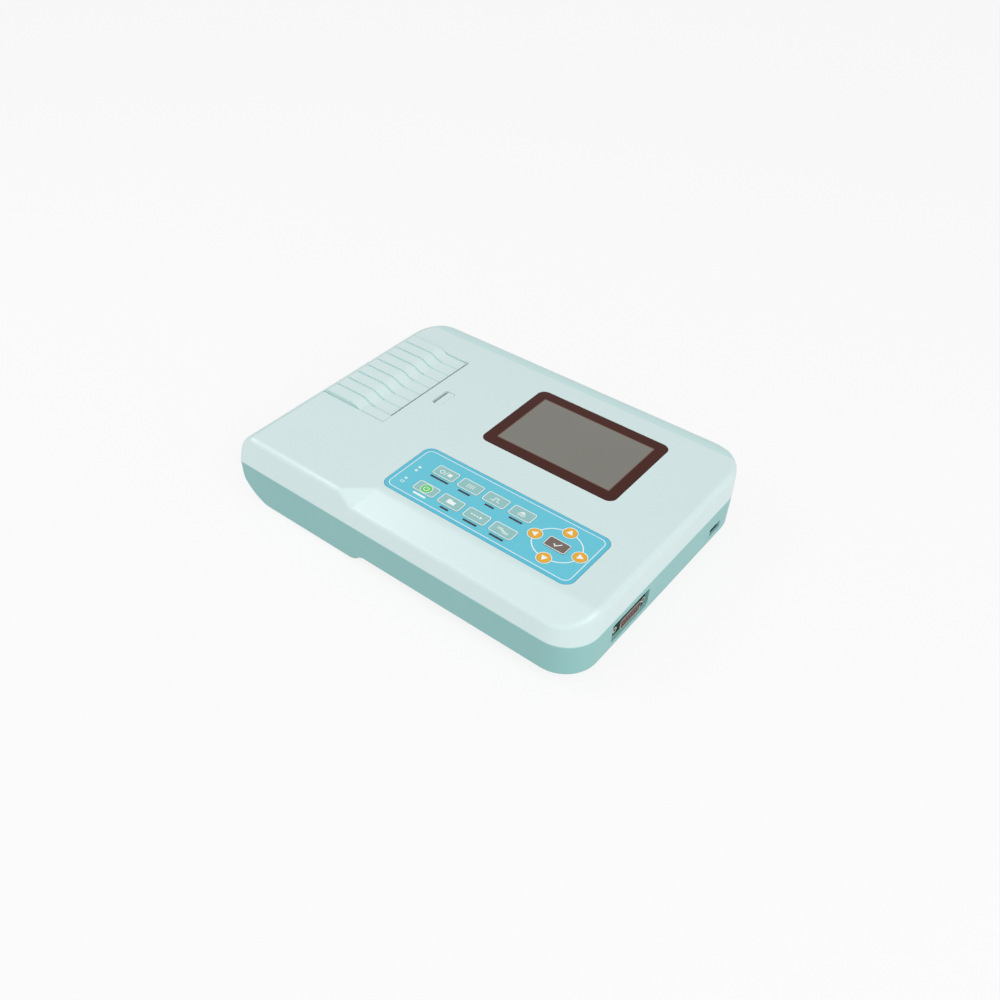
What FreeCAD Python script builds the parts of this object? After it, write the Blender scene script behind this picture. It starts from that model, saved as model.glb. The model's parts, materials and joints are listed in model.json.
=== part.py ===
"""A portable three-channel ECG recorder, built as an assembly of separate pieces.

Millimetres. +X is the user's right, +Y is the back, +Z is up. The origin lies on the table,
under the centre of the casing. The paper bay is at the left, screen and keypad at the right.
"""
import FreeCAD, Part
import math
import operator
import os
import types

import Sketcher

SIZES = {
    # casing: overall form
    "case_length": 291, "case_depth": 215, "seam_level": 36, "top_level": 57,
    "left_floor": 2.5, "right_floor": 9, "shell_wall": 2.5,
    "front_lean": 5.2, "nose_run": 10, "side_draft": 0.6, "tub_draft": 1.5,
    "corner_front_left": 5, "corner_front_right": 25, "corner_back_right": 31, "corner_back_left": 26,
    "edge_round": 4.5, "crease_round": 10, "facet_round": 3, "tub_round": 2.5,
    "palm_reach": 72.7, "palm_depth": 23, "palm_slope": 0.42, "palm_skew": 0.35,
    "facet_run": 14.2, "facet_rise": 7.35, "bevel_run": 7.5, "bevel_drop": 2.4,
    "hull_radius": 34, "step_left": -40, "step_length": 15, "cut_over": 2, "root_sink": 1,
    # paper cover and its hinge
    "cover_front": -28.1, "cover_back": 70.2, "cover_reach": 52.3, "cover_gap": 0.4, "cover_wall": 2,
    "hinge_inset": 14.4, "hinge_level": 55.4, "knuckle_radius": 4.2, "hinge_pin_radius": 1, "ear_width": 2.5,
    "slope_from_hinge": 23.1, "crease_from_hinge": 36.4, "deck_level": 55.6, "slot_width": 2.4,
    "front_strip": 8.8, "strip_drop": 0.1, "rib_count": 9, "groove_width": 1.6, "groove_depth": 0.7,
    # paper feed
    "platen_from_hinge": 46.6, "platen_level": 47, "platen_radius": 6, "platen_core": 2.5,
    "journal_radius": 1.5,
    "running_clearance": 0.03, "bush_radius": 3, "arm_width": 2, "arm_half": 5, "arm_gap": 0.6,
    "paper_centre": 22.9, "paper_width": 80, "platen_overhang": 1.5, "paper_gap": 0.7,
    "gear_module": 0.6, "platen_teeth": 20, "idler_teeth": 30, "pinion_teeth": 15, "gear_width": 3,
    "mesh_clearance": 0.1, "tooth_backlash": 0.22, "idler_post_radius": 1.5,
    "pinion_angle": -20, "motor_radius": 10, "motor_length": 17, "motor_shaft_radius": 1, "motor_boss": 3.5,
    "motor_wall_near": 33.1, "motor_wall_far": 69.1, "motor_wall_top": 42,
    "roll_from_hinge": 24.1, "roll_level": 28.5, "roll_radius": 18.5, "core_radius": 8.5, "core_wall": 1.2,
    "spindle_stub": 3, "chassis_wall": 2, "cheek_top": 40,
    "chassis_from_hinge": 20.1, "cheek_from_hinge": 9.1,
    "head_thick": 3.6, "head_strip_thick": 0.7, "head_low": 30, "head_high": 53, "shelf_level": 50.7,
    # latch
    "latch_from_hinge": 69.25, "latch_y": 21.9, "latch_opening_x": 8.5, "latch_opening_y": 17.8,
    "latch_corner": 1.5, "latch_travel": 2.3, "latch_gap": 0.3, "latch_plate": 3.2, "tab_drop": 0.2,
    "hook_width": 1.4, "latch_near": 61.1, "latch_far": 75.1, "hook_gap": 0.6, "hook_bar": 1.6,
    "lug_thick": 1.5, "spring_y": 45, "spring_half": 9, "spring_bow": 3.5, "spring_thick": 0.35,
    "spring_wide": 1.6, "spring_drop": 0.1,
    # screen and keypad
    "screen_inset": 103, "screen_from_back": 67.8, "screen_length": 109, "screen_depth": 76,
    "screen_corner": 6, "screen_thick": 1.6, "screen_glue": 0.1, "window_length": 92.3, "window_depth": 58,
    "window_shift": 0.3, "window_margin": 2, "panel_gap": 0.3, "lcd_length": 104, "lcd_depth": 68,
    "lcd_thick": 6,
    "keypad_inset": 102.5, "keypad_from_front": 53.6, "keypad_length": 151, "keypad_depth": 51.3,
    "keypad_corner": 7, "circuit_thick": 0.4, "spacer_thick": 0.5, "overlay_thick": 0.5,
    "key_proud": 0.25, "key_gap": 0.2, "key_length": 17.6, "key_depth": 10, "key_corner": 1.6,
    "first_column": 47.5, "key_pitch": 21.1, "back_row": 9.6, "front_row": 10.9,
    "pad_shift_x": 49.5, "pad_shift_y": 0.2, "pad_reach_x": 16.9, "pad_reach_y": 14.4,
    "pad_key_radius": 4.4, "enter_length": 16, "enter_depth": 9.4,
    "lamp_shift": 65.5, "lamp_back": 0.4, "lamp_front": 10.8, "lamp_radius": 1.1, "lamp_proud": 0.1,
    # main board and its sockets
    "board_inset": 11.5, "board_length": 52, "board_from_front": 37.5, "board_from_back": 25.5,
    "board_level": 15, "board_thick": 1.6, "board_margin": 4, "chip_side": 20, "chip_thick": 1.6,
    "memory_length": 8, "memory_depth": 12, "memory_thick": 1.2, "memory_reach": 27,
    "amplifier_side": 10, "post_radius": 3, "screw_radius": 1.5, "screw_head": 2.9, "screw_head_high": 1.8,
    "screw_slot": 0.35, "screw_spare": 1,
    "dsub_from_front": 62.2, "dsub_high": 6.4, "flange_length": 39.1, "flange_depth": 12.5,
    "flange_inset": 7.1, "dsub_length": 25.2, "dsub_depth": 8.4, "dsub_reach": 5.9, "dsub_wall": 0.5,
    "jack_spacing": 33.3, "jack_radius": 2.4, "jack_length": 5, "jack_bore": 1.25,
    "dsub_opening_length": 42.5, "dsub_opening_high": 15.6, "dsub_corner": 2, "contact_pitch": 2.77,
    "contact_row": 2.84, "contact_radius": 0.55, "housing_depth": 11,
    "usb_from_back": 43.5, "usb_length": 13.2, "usb_high": 5.7, "usb_wall": 0.35, "usb_depth": 14,
    "usb_inset": 1.3, "usb_opening_gap": 0.5, "tongue_back": 1, "tongue_thick": 1.8,
    # power supply and rear sockets
    "supply_far": 165.5, "supply_near": 75.5, "supply_from_back": 35.5, "supply_depth": 18,
    "transformer_shift": 12, "transformer_length": 22, "transformer_depth": 16, "transformer_high": 15,
    "capacitor_shift": 8, "capacitor_radius": 6, "capacitor_high": 14,
    "regulator_length": 10, "regulator_depth": 4, "regulator_high": 12,
    "rear_level": 22, "recess_depth": 11, "recess_far": 171.5, "recess_near": 87.5, "recess_low": 10.5,
    "recess_high": 33, "inlet_inset": 150.5, "inlet_length": 31, "inlet_high": 22,
    "inlet_body_length": 27.4, "inlet_body_high": 19.4, "inlet_body_depth": 20, "inlet_flange": 2,
    "inlet_wall": 1.5, "inlet_corner": 5, "inlet_floor": 4,
    "blade_spacing": 14, "blade_offset": 3, "blade_wide": 4, "blade_thick": 2, "blade_long": 14,
    "rocker_inset": 120.5, "rocker_length": 15, "rocker_high": 21, "rocker_body_length": 12.8,
    "rocker_body_high": 18.8, "rocker_body_depth": 15, "rocker_flange": 1.5, "rocker_wall": 1.4,
    "rocker_gap": 0.35, "rocker_tilt": 8, "paddle_radius": 7.8, "paddle_front": 2.4, "paddle_dip": 1.4,
    "paddle_back": 2, "paddle_axle": 1, "axle_gap": 0.3,
    "stud_inset": 97.5, "stud_radius": 3, "stud_length": 11, "stud_collar": 5, "stud_collar_thick": 3,
    # battery, feet and casing screws
    "door_far": 151.5, "door_near": 69.5, "door_from_back": 57.5, "door_depth": 60, "door_thick": 1.5,
    "door_ledge": 6, "door_gap": 0.3, "battery_high": 19, "battery_gap": 1, "battery_round": 4,
    "boss_radius": 4, "tub_boss_radius": 5.2, "boss_left_inset": 41.5, "boss_right_inset": 19.5,
    "boss_front_inset": 27.5, "boss_back_inset": 16.5, "screw_slack": 0.2, "screw_reach": 12,
    "screw_seat": 8, "foot_radius": 6, "foot_height": 3.5, "foot_recess": 1, "foot_left_inset": 55.5,
    "foot_right_inset": 37.5, "foot_end_inset": 27.5, "foot_post": 7,
}

doc = FreeCAD.newDocument("ecg_recorder")
sheet = doc.addObject("Spreadsheet::Sheet", "sizes")
for row, (name, number) in enumerate(SIZES.items(), start=1):
    sheet.set("A%d" % row, name)
    sheet.set("B%d" % row, str(number))
    sheet.setAlias("B%d" % row, name)
doc.recompute()

SIGNS = {"+": operator.add, "-": operator.sub, "*": operator.mul, "/": operator.truediv}


class Size:
    """A number together with the sheet expression that gives it."""

    def __init__(self, number, text):
        self.number = number
        self.text = text

    def __add__(self, other):
        return joined(self, "+", other)

    def __radd__(self, other):
        return joined(other, "+", self)

    def __sub__(self, other):
        return joined(self, "-", other)

    def __rsub__(self, other):
        return joined(other, "-", self)

    def __mul__(self, other):
        return joined(self, "*", other)

    def __rmul__(self, other):
        return joined(other, "*", self)

    def __truediv__(self, other):
        return joined(self, "/", other)

    def __neg__(self):
        return joined(0, "-", self)


def as_size(value):
    return value if isinstance(value, Size) else Size(float(value), repr(float(value)))


def joined(left, sign, right):
    left = as_size(left)
    right = as_size(right)
    return Size(SIGNS[sign](left.number, right.number), "(%s %s %s)" % (left.text, sign, right.text))


def num(value):
    return as_size(value).number


d = types.SimpleNamespace(**{name: Size(float(sheet.get(name)), "sizes." + name) for name in SIZES})
nodes = {}


def tie(item, path, value):
    """Binds one property of an object to a sheet expression."""
    item.setExpression(path, as_size(value).text)


def node(name, item):
    """Registers an object as a finished sub-part under its own name."""
    item.Label = name
    nodes[name] = item
    return item


# sketches

def origin_plane(body, role):
    return [item for item in body.Origin.OriginFeatures if item.Role == role][0]


def new_body(name):
    body = doc.addObject("PartDesign::Body", name)
    body.Label = name
    return body


def sketch(body, name, role, offset):
    """A sketch on one of the body's own planes, moved along that plane's normal."""
    item = body.newObject("Sketcher::SketchObject", name)
    item.AttachmentSupport = [(origin_plane(body, role), "")]
    item.MapMode = "FlatFace"
    tie(item, "AttachmentOffset.Base.z", offset)
    return item


def arc_between(start, end, radius):
    """The arc under a half circle from start to end; a positive radius turns left."""
    along = end - start
    middle = start + along * 0.5
    side = FreeCAD.Vector(-along.y, along.x, 0).normalize()
    rise = math.sqrt(max(radius * radius - along.Length ** 2 / 4, 0))
    centre = middle + side * math.copysign(rise, radius)
    circle = Part.Circle(centre, FreeCAD.Vector(0, 0, 1), abs(radius))
    first = math.atan2(start.y - centre.y, start.x - centre.x)
    last = math.atan2(end.y - centre.y, end.x - centre.x)
    if radius > 0:
        return Part.ArcOfCircle(circle, first, last)
    return Part.ArcOfCircle(circle, last, first)


def outline(item, points):
    """A closed outline. A point is (x, y), or (x, y, radius) where an arc leads to the next point."""
    base = item.GeometryCount
    count = len(points)
    shapes = []
    starts = []
    for index, point in enumerate(points):
        after = points[(index + 1) % count]
        start = FreeCAD.Vector(num(point[0]), num(point[1]), 0)
        end = FreeCAD.Vector(num(after[0]), num(after[1]), 0)
        radius = num(point[2]) if len(point) > 2 else 0
        shapes.append(arc_between(start, end, radius) if radius else Part.LineSegment(start, end))
        starts.append(2 if radius < 0 else 1)
    item.addGeometry(shapes)
    joints = []
    for index in range(count):
        after = (index + 1) % count
        joints.append(Sketcher.Constraint("Coincident", base + index, 3 - starts[index], base + after,
                                          starts[after]))
    limits = []
    values = []
    for index, point in enumerate(points):
        for kind, value in zip(("DistanceX", "DistanceY"), point):
            limits.append(Sketcher.Constraint(kind, -1, 1, base + index, starts[index], num(value)))
            values.append(value)
        if len(point) > 2:
            limits.append(Sketcher.Constraint("Radius", base + index, abs(num(point[2]))))
            values.append(point[2] if num(point[2]) > 0 else -point[2])
    item.addConstraint(joints)
    for place, value in zip(item.addConstraint(limits), values):
        tie(item, "Constraints[%d]" % place, value)
    return item


def circle(item, x, y, radius):
    """A full circle in a sketch."""
    index = item.addGeometry(Part.Circle(FreeCAD.Vector(num(x), num(y), 0), FreeCAD.Vector(0, 0, 1),
                                         num(radius)))
    limits = [Sketcher.Constraint("DistanceX", -1, 1, index, 3, num(x)),
              Sketcher.Constraint("DistanceY", -1, 1, index, 3, num(y)),
              Sketcher.Constraint("Radius", index, num(radius))]
    for place, value in zip(item.addConstraint(limits), (x, y, radius)):
        tie(item, "Constraints[%d]" % place, value)
    return item


def rounded(x0, x1, y0, y1, front_left, front_right=None, back_right=None, back_left=None):
    """The corners of a rectangle with rounded corners, anticlockwise from its front left."""
    front_right = front_right or front_left
    back_right = back_right or front_left
    back_left = back_left or front_left
    return [(x0 + front_left, y0), (x1 - front_right, y0, front_right),
            (x1, y0 + front_right), (x1, y1 - back_right, back_right),
            (x1 - back_right, y1), (x0 + back_left, y1, back_left),
            (x0, y1 - back_left), (x0, y0 + front_left, front_left)]


def plate(centre_x, centre_y, length, depth, corner):
    return rounded(centre_x - length / 2, centre_x + length / 2, centre_y - depth / 2, centre_y + depth / 2,
                   corner)


# features

def pad(body, profile, length):
    item = body.newObject("PartDesign::Pad", profile.Name + "_pad")
    item.Profile = profile
    item.Type = "Length"
    tie(item, "Length", length)
    return item


def pocket_through(body, profile):
    item = body.newObject("PartDesign::Pocket", profile.Name + "_pocket")
    item.Profile = profile
    item.Type = "ThroughAll"
    item.Midplane = True
    return item


def prism_z(name, loops, low, high):
    """A body padded upwards from outlines drawn in plan."""
    body = new_body(name)
    profile = sketch(body, name + "_plan", "XY_Plane", low)
    for loop in loops:
        outline(profile, loop)
    pad(body, profile, high - low)
    return body


def prism_y(name, loops, front, back):
    """A body padded from outlines drawn in front view, as (x, z) points."""
    body = new_body(name)
    profile = sketch(body, name + "_front", "XZ_Plane", -back)
    for loop in loops:
        outline(profile, loop)
    pad(body, profile, back - front)
    return body


def prism_x(name, loops, left, right):
    """A body padded from outlines drawn in side view, as (y, z) points."""
    body = new_body(name)
    profile = sketch(body, name + "_side", "YZ_Plane", left)
    for loop in loops:
        outline(profile, loop)
    pad(body, profile, right - left)
    return body


def block(name, x0, x1, y0, y1, z0, z1):
    item = doc.addObject("Part::Box", name)
    for path, value in (("Length", x1 - x0), ("Width", y1 - y0), ("Height", z1 - z0),
                        ("Placement.Base.x", x0), ("Placement.Base.y", y0), ("Placement.Base.z", z0)):
        tie(item, path, value)
    return item


TURNS = {"x": FreeCAD.Rotation(FreeCAD.Vector(0, 1, 0), 90),
         "y": FreeCAD.Rotation(FreeCAD.Vector(1, 0, 0), -90),
         "z": FreeCAD.Rotation()}


def rod(name, axis, x, y, z, radius, length):
    """A cylinder that starts at the given point and runs along +X, +Y or +Z."""
    item = doc.addObject("Part::Cylinder", name)
    item.Placement = FreeCAD.Placement(FreeCAD.Vector(), TURNS[axis])
    for path, value in (("Radius", radius), ("Height", length),
                        ("Placement.Base.x", x), ("Placement.Base.y", y), ("Placement.Base.z", z)):
        tie(item, path, value)
    return item


def fuse(name, shapes):
    item = doc.addObject("Part::MultiFuse", name)
    item.Shapes = shapes
    item.Refine = True
    return item


def cut(name, base, tools):
    item = doc.addObject("Part::Cut", name)
    item.Base = base
    item.Tool = tools[0] if len(tools) == 1 else fuse(name + "_tools", tools)
    item.Refine = True
    return item


def group(name, shapes):
    item = doc.addObject("Part::Compound", name)
    item.Links = shapes
    return item


def edges_between(shape, low, high, flat_side):
    """Names of the edges between a wall and a floor-like face, by the faces' normals.

    flat_side is 1 for a top face and -1 for an underside; low and high limit the edge's height.
    """
    found = []
    for index, edge in enumerate(shape.Edges):
        middle = edge.valueAt((edge.FirstParameter + edge.LastParameter) / 2)
        faces = [face for face in shape.Faces if any(edge.isSame(other) for other in face.Edges)]
        if not num(low) < middle.z < num(high) or len(faces) != 2:
            continue
        slopes = sorted(face.normalAt(*face.Surface.parameter(middle)).z * flat_side for face in faces)
        if slopes[0] < 0.55 < slopes[1]:
            found.append("Edge%d" % (index + 1))
    return found


def edge_at(shape, x, y, z):
    """The name of the edge whose middle lies nearest to a point."""
    target = FreeCAD.Vector(num(x), num(y), num(z))
    gaps = []
    for edge in shape.Edges:
        middle = edge.valueAt((edge.FirstParameter + edge.LastParameter) / 2)
        gaps.append((middle - target).Length)
    return "Edge%d" % (gaps.index(min(gaps)) + 1)


def fillet(body, name, radius, pick):
    """Rounds the edges that pick names on the body's shape so far."""
    doc.recompute()
    base = body.Tip
    item = body.newObject("PartDesign::Fillet", name)
    item.Base = (base, pick(base.Shape))
    tie(item, "Radius", radius)
    return item


# places

half_length = d.case_length / 2
half_depth = d.case_depth / 2
hinge_x = d.hinge_inset - half_length
slope_start = hinge_x + d.slope_from_hinge
crease_x = hinge_x + d.crease_from_hinge
cover_right = hinge_x + d.cover_reach
platen_x = hinge_x + d.platen_from_hinge
roll_x = hinge_x + d.roll_from_hinge
chassis_left = hinge_x + d.chassis_from_hinge
cheek_left = hinge_x + d.cheek_from_hinge
motor_wall_left = hinge_x + d.motor_wall_near
motor_wall_right = hinge_x + d.motor_wall_far
latch_x = hinge_x + d.latch_from_hinge
latch_left = hinge_x + d.latch_near
latch_right = hinge_x + d.latch_far
screen_x = half_length - d.screen_inset
screen_y = half_depth - d.screen_from_back
window_y = screen_y + d.window_shift
keypad_x = half_length - d.keypad_inset
keypad_y = d.keypad_from_front - half_depth
palm_left = keypad_x - d.palm_reach
palm_back = d.palm_depth - half_depth
pad_x = keypad_x + d.pad_shift_x
pad_y = keypad_y + d.pad_shift_y
lamp_x = keypad_x - d.lamp_shift
board_right = half_length - d.board_inset
board_left = board_right - d.board_length
board_front = d.board_from_front - half_depth
board_back = half_depth - d.board_from_back
dsub_y = d.dsub_from_front - half_depth
flange_x = half_length - d.flange_inset
usb_x = half_length - d.usb_inset
usb_y = half_depth - d.usb_from_back
supply_left = half_length - d.supply_far
supply_right = half_length - d.supply_near
supply_back = half_depth - d.supply_from_back
supply_front = supply_back - d.supply_depth
recess_left = half_length - d.recess_far
recess_right = half_length - d.recess_near
inlet_x = half_length - d.inlet_inset
rocker_x = half_length - d.rocker_inset
stud_x = half_length - d.stud_inset
door_left = half_length - d.door_far
door_right = half_length - d.door_near
door_back = half_depth - d.door_from_back
door_front = door_back - d.door_depth
boss_left = d.boss_left_inset - half_length
boss_right = half_length - d.boss_right_inset
boss_front = d.boss_front_inset - half_depth
boss_back = half_depth - d.boss_back_inset
foot_left = d.foot_left_inset - half_length
foot_right = half_length - d.foot_right_inset
foot_y = half_depth - d.foot_end_inset

# casing


def case_ring(inset, left_in, right_in, front_in, back_in):
    """The casing's outline in plan, inset by a wall and by the lean of each side."""
    return rounded(inset + left_in - half_length, half_length - inset - right_in,
                   inset + front_in - half_depth, half_depth - inset - back_in,
                   d.corner_front_left - inset, d.corner_front_right - inset,
                   d.corner_back_right - inset, d.corner_back_left - inset)


RING_COUNT = 6
NOSE_POWER = 4


def upper_form(name, inset):
    """The upper casing without its hollow: round nose, leaning front, palm slope and back bevel."""
    body = new_body(name)
    top = d.top_level - inset
    rings = []
    for index in range(RING_COUNT):
        share = index / (RING_COUNT - 1)
        ring = sketch(body, "%s_ring_%d" % (name, index), "XY_Plane",
                      d.seam_level + (top - d.seam_level) * share)
        rings.append(outline(ring, case_ring(inset, d.nose_run * share ** NOSE_POWER, d.side_draft * share,
                                             d.front_lean * share, d.side_draft * share)))
    walls = body.newObject("PartDesign::AdditiveLoft", name + "_walls")
    walls.Profile = rings[0]
    walls.Sections = rings[1:]
    walls.Ruled = False
    palm = sketch(body, name + "_palm", "XZ_Plane", -palm_back)
    outline(palm, [(palm_left, top), (half_length + inset, top),
                   (half_length + inset, top + 2 * d.facet_rise),
                   (palm_left - 2 * d.facet_run, top + 2 * d.facet_rise)])
    slope = body.newObject("PartDesign::Pocket", name + "_slope")
    slope.Profile = palm
    slope.Type = "Length"
    tie(slope, "Length", half_depth / 2)
    slope.UseCustomVector = True
    slope.Direction = FreeCAD.Vector(-num(d.palm_skew), -1, -num(d.palm_slope))
    slope.AlongSketchNormal = False
    start = half_depth - inset - d.side_draft - d.bevel_run
    beyond = half_depth + d.bevel_run
    bevel = sketch(body, name + "_bevel", "YZ_Plane", 0)
    outline(bevel, [(start, top), (beyond, top - (beyond - start) * d.bevel_drop / d.bevel_run),
                    (beyond, top + d.bevel_drop), (start, top + d.bevel_drop)])
    pocket_through(body, bevel)
    return body


upper_outer = upper_form("upper_outer", as_size(0))
bevel_y = half_depth - d.side_draft - d.bevel_run
fillet(upper_outer, "palm_crease", d.crease_round,
       lambda shape: [edge_at(shape, (palm_left + half_length) / 2, palm_back, d.top_level)])
fillet(upper_outer, "bevel_crease", d.crease_round, lambda shape: [edge_at(shape, 0, bevel_y, d.top_level)])
fillet(upper_outer, "facet_crease", d.facet_round,
       lambda shape: [edge_at(shape, palm_left - d.facet_run / 2, palm_back - d.facet_run / 2, d.top_level)])
fillet(upper_outer, "top_round", d.edge_round,
       lambda shape: edges_between(shape, d.seam_level + d.edge_round, d.top_level + d.edge_round, 1))
upper_inner = upper_form("upper_inner", d.shell_wall)

ceiling = d.top_level - d.shell_wall
opening_left = hinge_x - d.knuckle_radius - d.cover_gap
opening_right = cover_right + d.slot_width
cover_opening = block("cover_opening", opening_left, opening_right, d.cover_front - d.cover_gap,
                      d.cover_back + d.cover_gap, d.seam_level, d.top_level + d.shell_wall)
latch_opening = prism_z("latch_opening", [plate(latch_x, d.latch_y, d.latch_opening_x, d.latch_opening_y,
                                                d.latch_corner)],
                        d.seam_level, d.top_level + d.shell_wall)
screen_floor = d.top_level - d.screen_thick - d.screen_glue
screen_recess = prism_z("screen_recess", [plate(screen_x, screen_y, d.screen_length + 2 * d.panel_gap,
                                                d.screen_depth + 2 * d.panel_gap,
                                                d.screen_corner + d.panel_gap)],
                        screen_floor, d.top_level + d.shell_wall)
screen_hole = block("screen_hole", screen_x - d.window_length / 2 - d.window_margin,
                    screen_x + d.window_length / 2 + d.window_margin,
                    window_y - d.window_depth / 2 - d.window_margin,
                    window_y + d.window_depth / 2 + d.window_margin,
                    d.seam_level, d.top_level)
keypad_floor = d.top_level - d.circuit_thick - d.spacer_thick - d.overlay_thick
keypad_recess = prism_z("keypad_recess", [plate(keypad_x, keypad_y, d.keypad_length + 2 * d.panel_gap,
                                                d.keypad_depth + 2 * d.panel_gap,
                                                d.keypad_corner + d.panel_gap)],
                        keypad_floor, d.top_level + d.shell_wall)
upper_shell = cut("upper_shell", upper_outer, [upper_inner, cover_opening, latch_opening, screen_recess,
                                               screen_hole, keypad_recess])
boss_places = [(x, y) for x in (boss_left, boss_right) for y in (boss_front, boss_back)]
ear_places = [(d.cover_front - d.cover_gap - d.ear_width), (d.cover_back + d.cover_gap)]
upper_extras = [upper_shell]
upper_bores = []
for index, (x, y) in enumerate(boss_places):
    upper_extras.append(rod("upper_boss_%d" % index, "z", x, y, d.seam_level, d.boss_radius,
                            ceiling + d.shell_wall / 4 - d.seam_level))
    upper_bores.append(rod("upper_bore_%d" % index, "z", x, y, d.seam_level, d.screw_radius, d.screw_reach))
for index, y in enumerate(ear_places):
    upper_extras.append(block("hinge_ear_%d" % index, hinge_x - d.boss_radius, hinge_x + d.boss_radius,
                              y, y + d.ear_width, d.hinge_level - d.boss_radius, ceiling + d.shell_wall / 4))
upper_bores.append(rod("hinge_bore", "y", hinge_x, ear_places[0], d.hinge_level, d.hinge_pin_radius,
                       ear_places[1] + d.ear_width - ear_places[0]))
node("upper_casing", cut("upper_casing", fuse("upper_whole", upper_extras), upper_bores))


def lower_form(name, inset):
    """The tub's form without its hollow: drafted walls, rounded left hull and stepped floor."""
    body = new_body(name)
    deep = d.left_floor + inset
    shallow = d.right_floor + inset
    seam = outline(sketch(body, name + "_seam", "XY_Plane", d.seam_level), case_ring(inset, 0, 0, 0, 0))
    foot = outline(sketch(body, name + "_foot", "XY_Plane", deep), case_ring(inset, 0, 0, d.tub_draft, 0))
    walls = body.newObject("PartDesign::AdditiveLoft", name + "_walls")
    walls.Profile = seam
    walls.Sections = [foot]
    walls.Ruled = True
    half_step = d.step_length / 2
    half_rise = (d.right_floor - d.left_floor) / 2
    step_round = (half_step * half_step + half_rise * half_rise) / (2 * half_rise)
    outside = half_length + d.shell_wall
    below = -d.shell_wall
    step = sketch(body, name + "_step", "XZ_Plane", 0)
    outline(step, [(d.step_left, deep, step_round), (d.step_left + half_step, deep + half_rise, -step_round),
                   (d.step_left + d.step_length, shallow), (outside, shallow), (outside, below),
                   (d.step_left, below)])
    pocket_through(body, step)
    return body


def cut_hull(body, inset):
    """Takes the quarter round off the tub's left side."""
    hull_x = d.hull_radius - half_length
    hull_level = d.left_floor + d.hull_radius
    hull_round = d.hull_radius - inset
    outside = half_length + d.shell_wall
    hull = sketch(body, body.Name + "_hull", "XZ_Plane", 0)
    outline(hull, [(-outside, hull_level), (-outside, 0), (hull_x, 0),
                   (hull_x, hull_level - hull_round, -hull_round),
                   (hull_x - hull_round, hull_level)])
    pocket_through(body, hull)


lower_outer = lower_form("lower_outer", as_size(0))
fillet(lower_outer, "floor_round", d.tub_round, lambda shape: edges_between(shape, 0,
                                                                            d.seam_level - d.edge_round, -1))
cut_hull(lower_outer, as_size(0))
lower_inner = lower_form("lower_inner", d.shell_wall)
cut_hull(lower_inner, d.shell_wall)
lower_shell = cut("lower_shell", lower_outer, [lower_inner])

board_top = d.board_level + d.board_thick
supply_posts = [(x, y) for x in (supply_left + d.board_margin, supply_right - d.board_margin)
                for y in (supply_front + d.board_margin, supply_back - d.board_margin)]
board_posts = [(x, y) for x in (board_left + d.board_margin, board_right - d.board_margin)
               for y in (board_front + d.board_margin, board_back - d.board_margin)]
foot_places = [(x, y) for x in (foot_left, foot_right) for y in (-foot_y, foot_y)]
dsub_level = board_top + d.dsub_high
usb_level = board_top + d.usb_high / 2
panel_face = half_depth - d.recess_depth
recess_wall = d.shell_wall
lower_extras = [lower_shell]
lower_bores = []
for index, (x, y) in enumerate(boss_places):
    floor = d.left_floor if x is boss_left else d.right_floor
    seat = d.seam_level - d.screw_seat
    lower_extras.append(rod("tub_boss_%d" % index, "z", x, y, floor + d.root_sink, d.tub_boss_radius,
                            d.seam_level - floor - d.root_sink))
    lower_bores.append(rod("tub_bore_%d" % index, "z", x, y, floor, d.screw_radius + d.screw_slack,
                           d.seam_level - floor))
    lower_bores.append(rod("tub_counterbore_%d" % index, "z", x, y, floor, d.screw_head + d.screw_slack,
                           seat - floor))
for index, (x, y) in enumerate(foot_places):
    if x is foot_right:
        lower_extras.append(rod("foot_post_%d" % index, "z", x, y, d.left_floor, d.foot_post,
                                d.right_floor + d.root_sink - d.left_floor))
    lower_bores.append(rod("foot_seat_%d" % index, "z", x, y, d.left_floor, d.foot_radius, d.foot_recess))
for index, (x, y) in enumerate(board_posts + supply_posts):
    lower_extras.append(rod("board_post_%d" % index, "z", x, y, d.right_floor + d.root_sink, d.post_radius,
                            d.board_level - d.right_floor - d.root_sink))
    lower_bores.append(rod("board_bore_%d" % index, "z", x, y, d.right_floor + d.shell_wall, d.screw_radius,
                           d.board_level - d.right_floor - d.shell_wall))
lower_extras.append(block("recess_box", recess_left - recess_wall, recess_right + recess_wall,
                          panel_face - recess_wall, half_depth - recess_wall / 2,
                          d.right_floor + d.root_sink, (d.recess_high + d.seam_level) / 2))
lower_bores.append(block("rear_recess", recess_left, recess_right, panel_face, half_depth + d.cut_over,
                         d.recess_low, d.recess_high))
lower_bores.append(prism_x("dsub_opening", [plate(dsub_y, dsub_level, d.dsub_opening_length,
                                                  d.dsub_opening_high,
                                                  d.dsub_corner)], board_right + d.cut_over,
                                                  half_length + d.cut_over))
lower_bores.append(prism_x("usb_opening", [plate(usb_y, usb_level, d.usb_length + 2 * d.usb_opening_gap,
                                                 d.usb_high + 2 * d.usb_opening_gap, d.usb_opening_gap)],
                           board_right + d.cut_over, half_length + d.cut_over))
lower_bores.append(block("inlet_hole", inlet_x - d.inlet_body_length / 2, inlet_x + d.inlet_body_length / 2,
                         panel_face - recess_wall, panel_face, d.rear_level - d.inlet_body_high / 2,
                         d.rear_level + d.inlet_body_high / 2))
lower_bores.append(block("rocker_hole", rocker_x - d.rocker_body_length / 2,
                         rocker_x + d.rocker_body_length / 2,
                         panel_face - recess_wall, panel_face, d.rear_level - d.rocker_body_high / 2,
                         d.rear_level + d.rocker_body_high / 2))
lower_bores.append(rod("stud_hole", "y", stud_x, panel_face - recess_wall, d.rear_level,
                       d.stud_radius + d.running_clearance, recess_wall))
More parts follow.
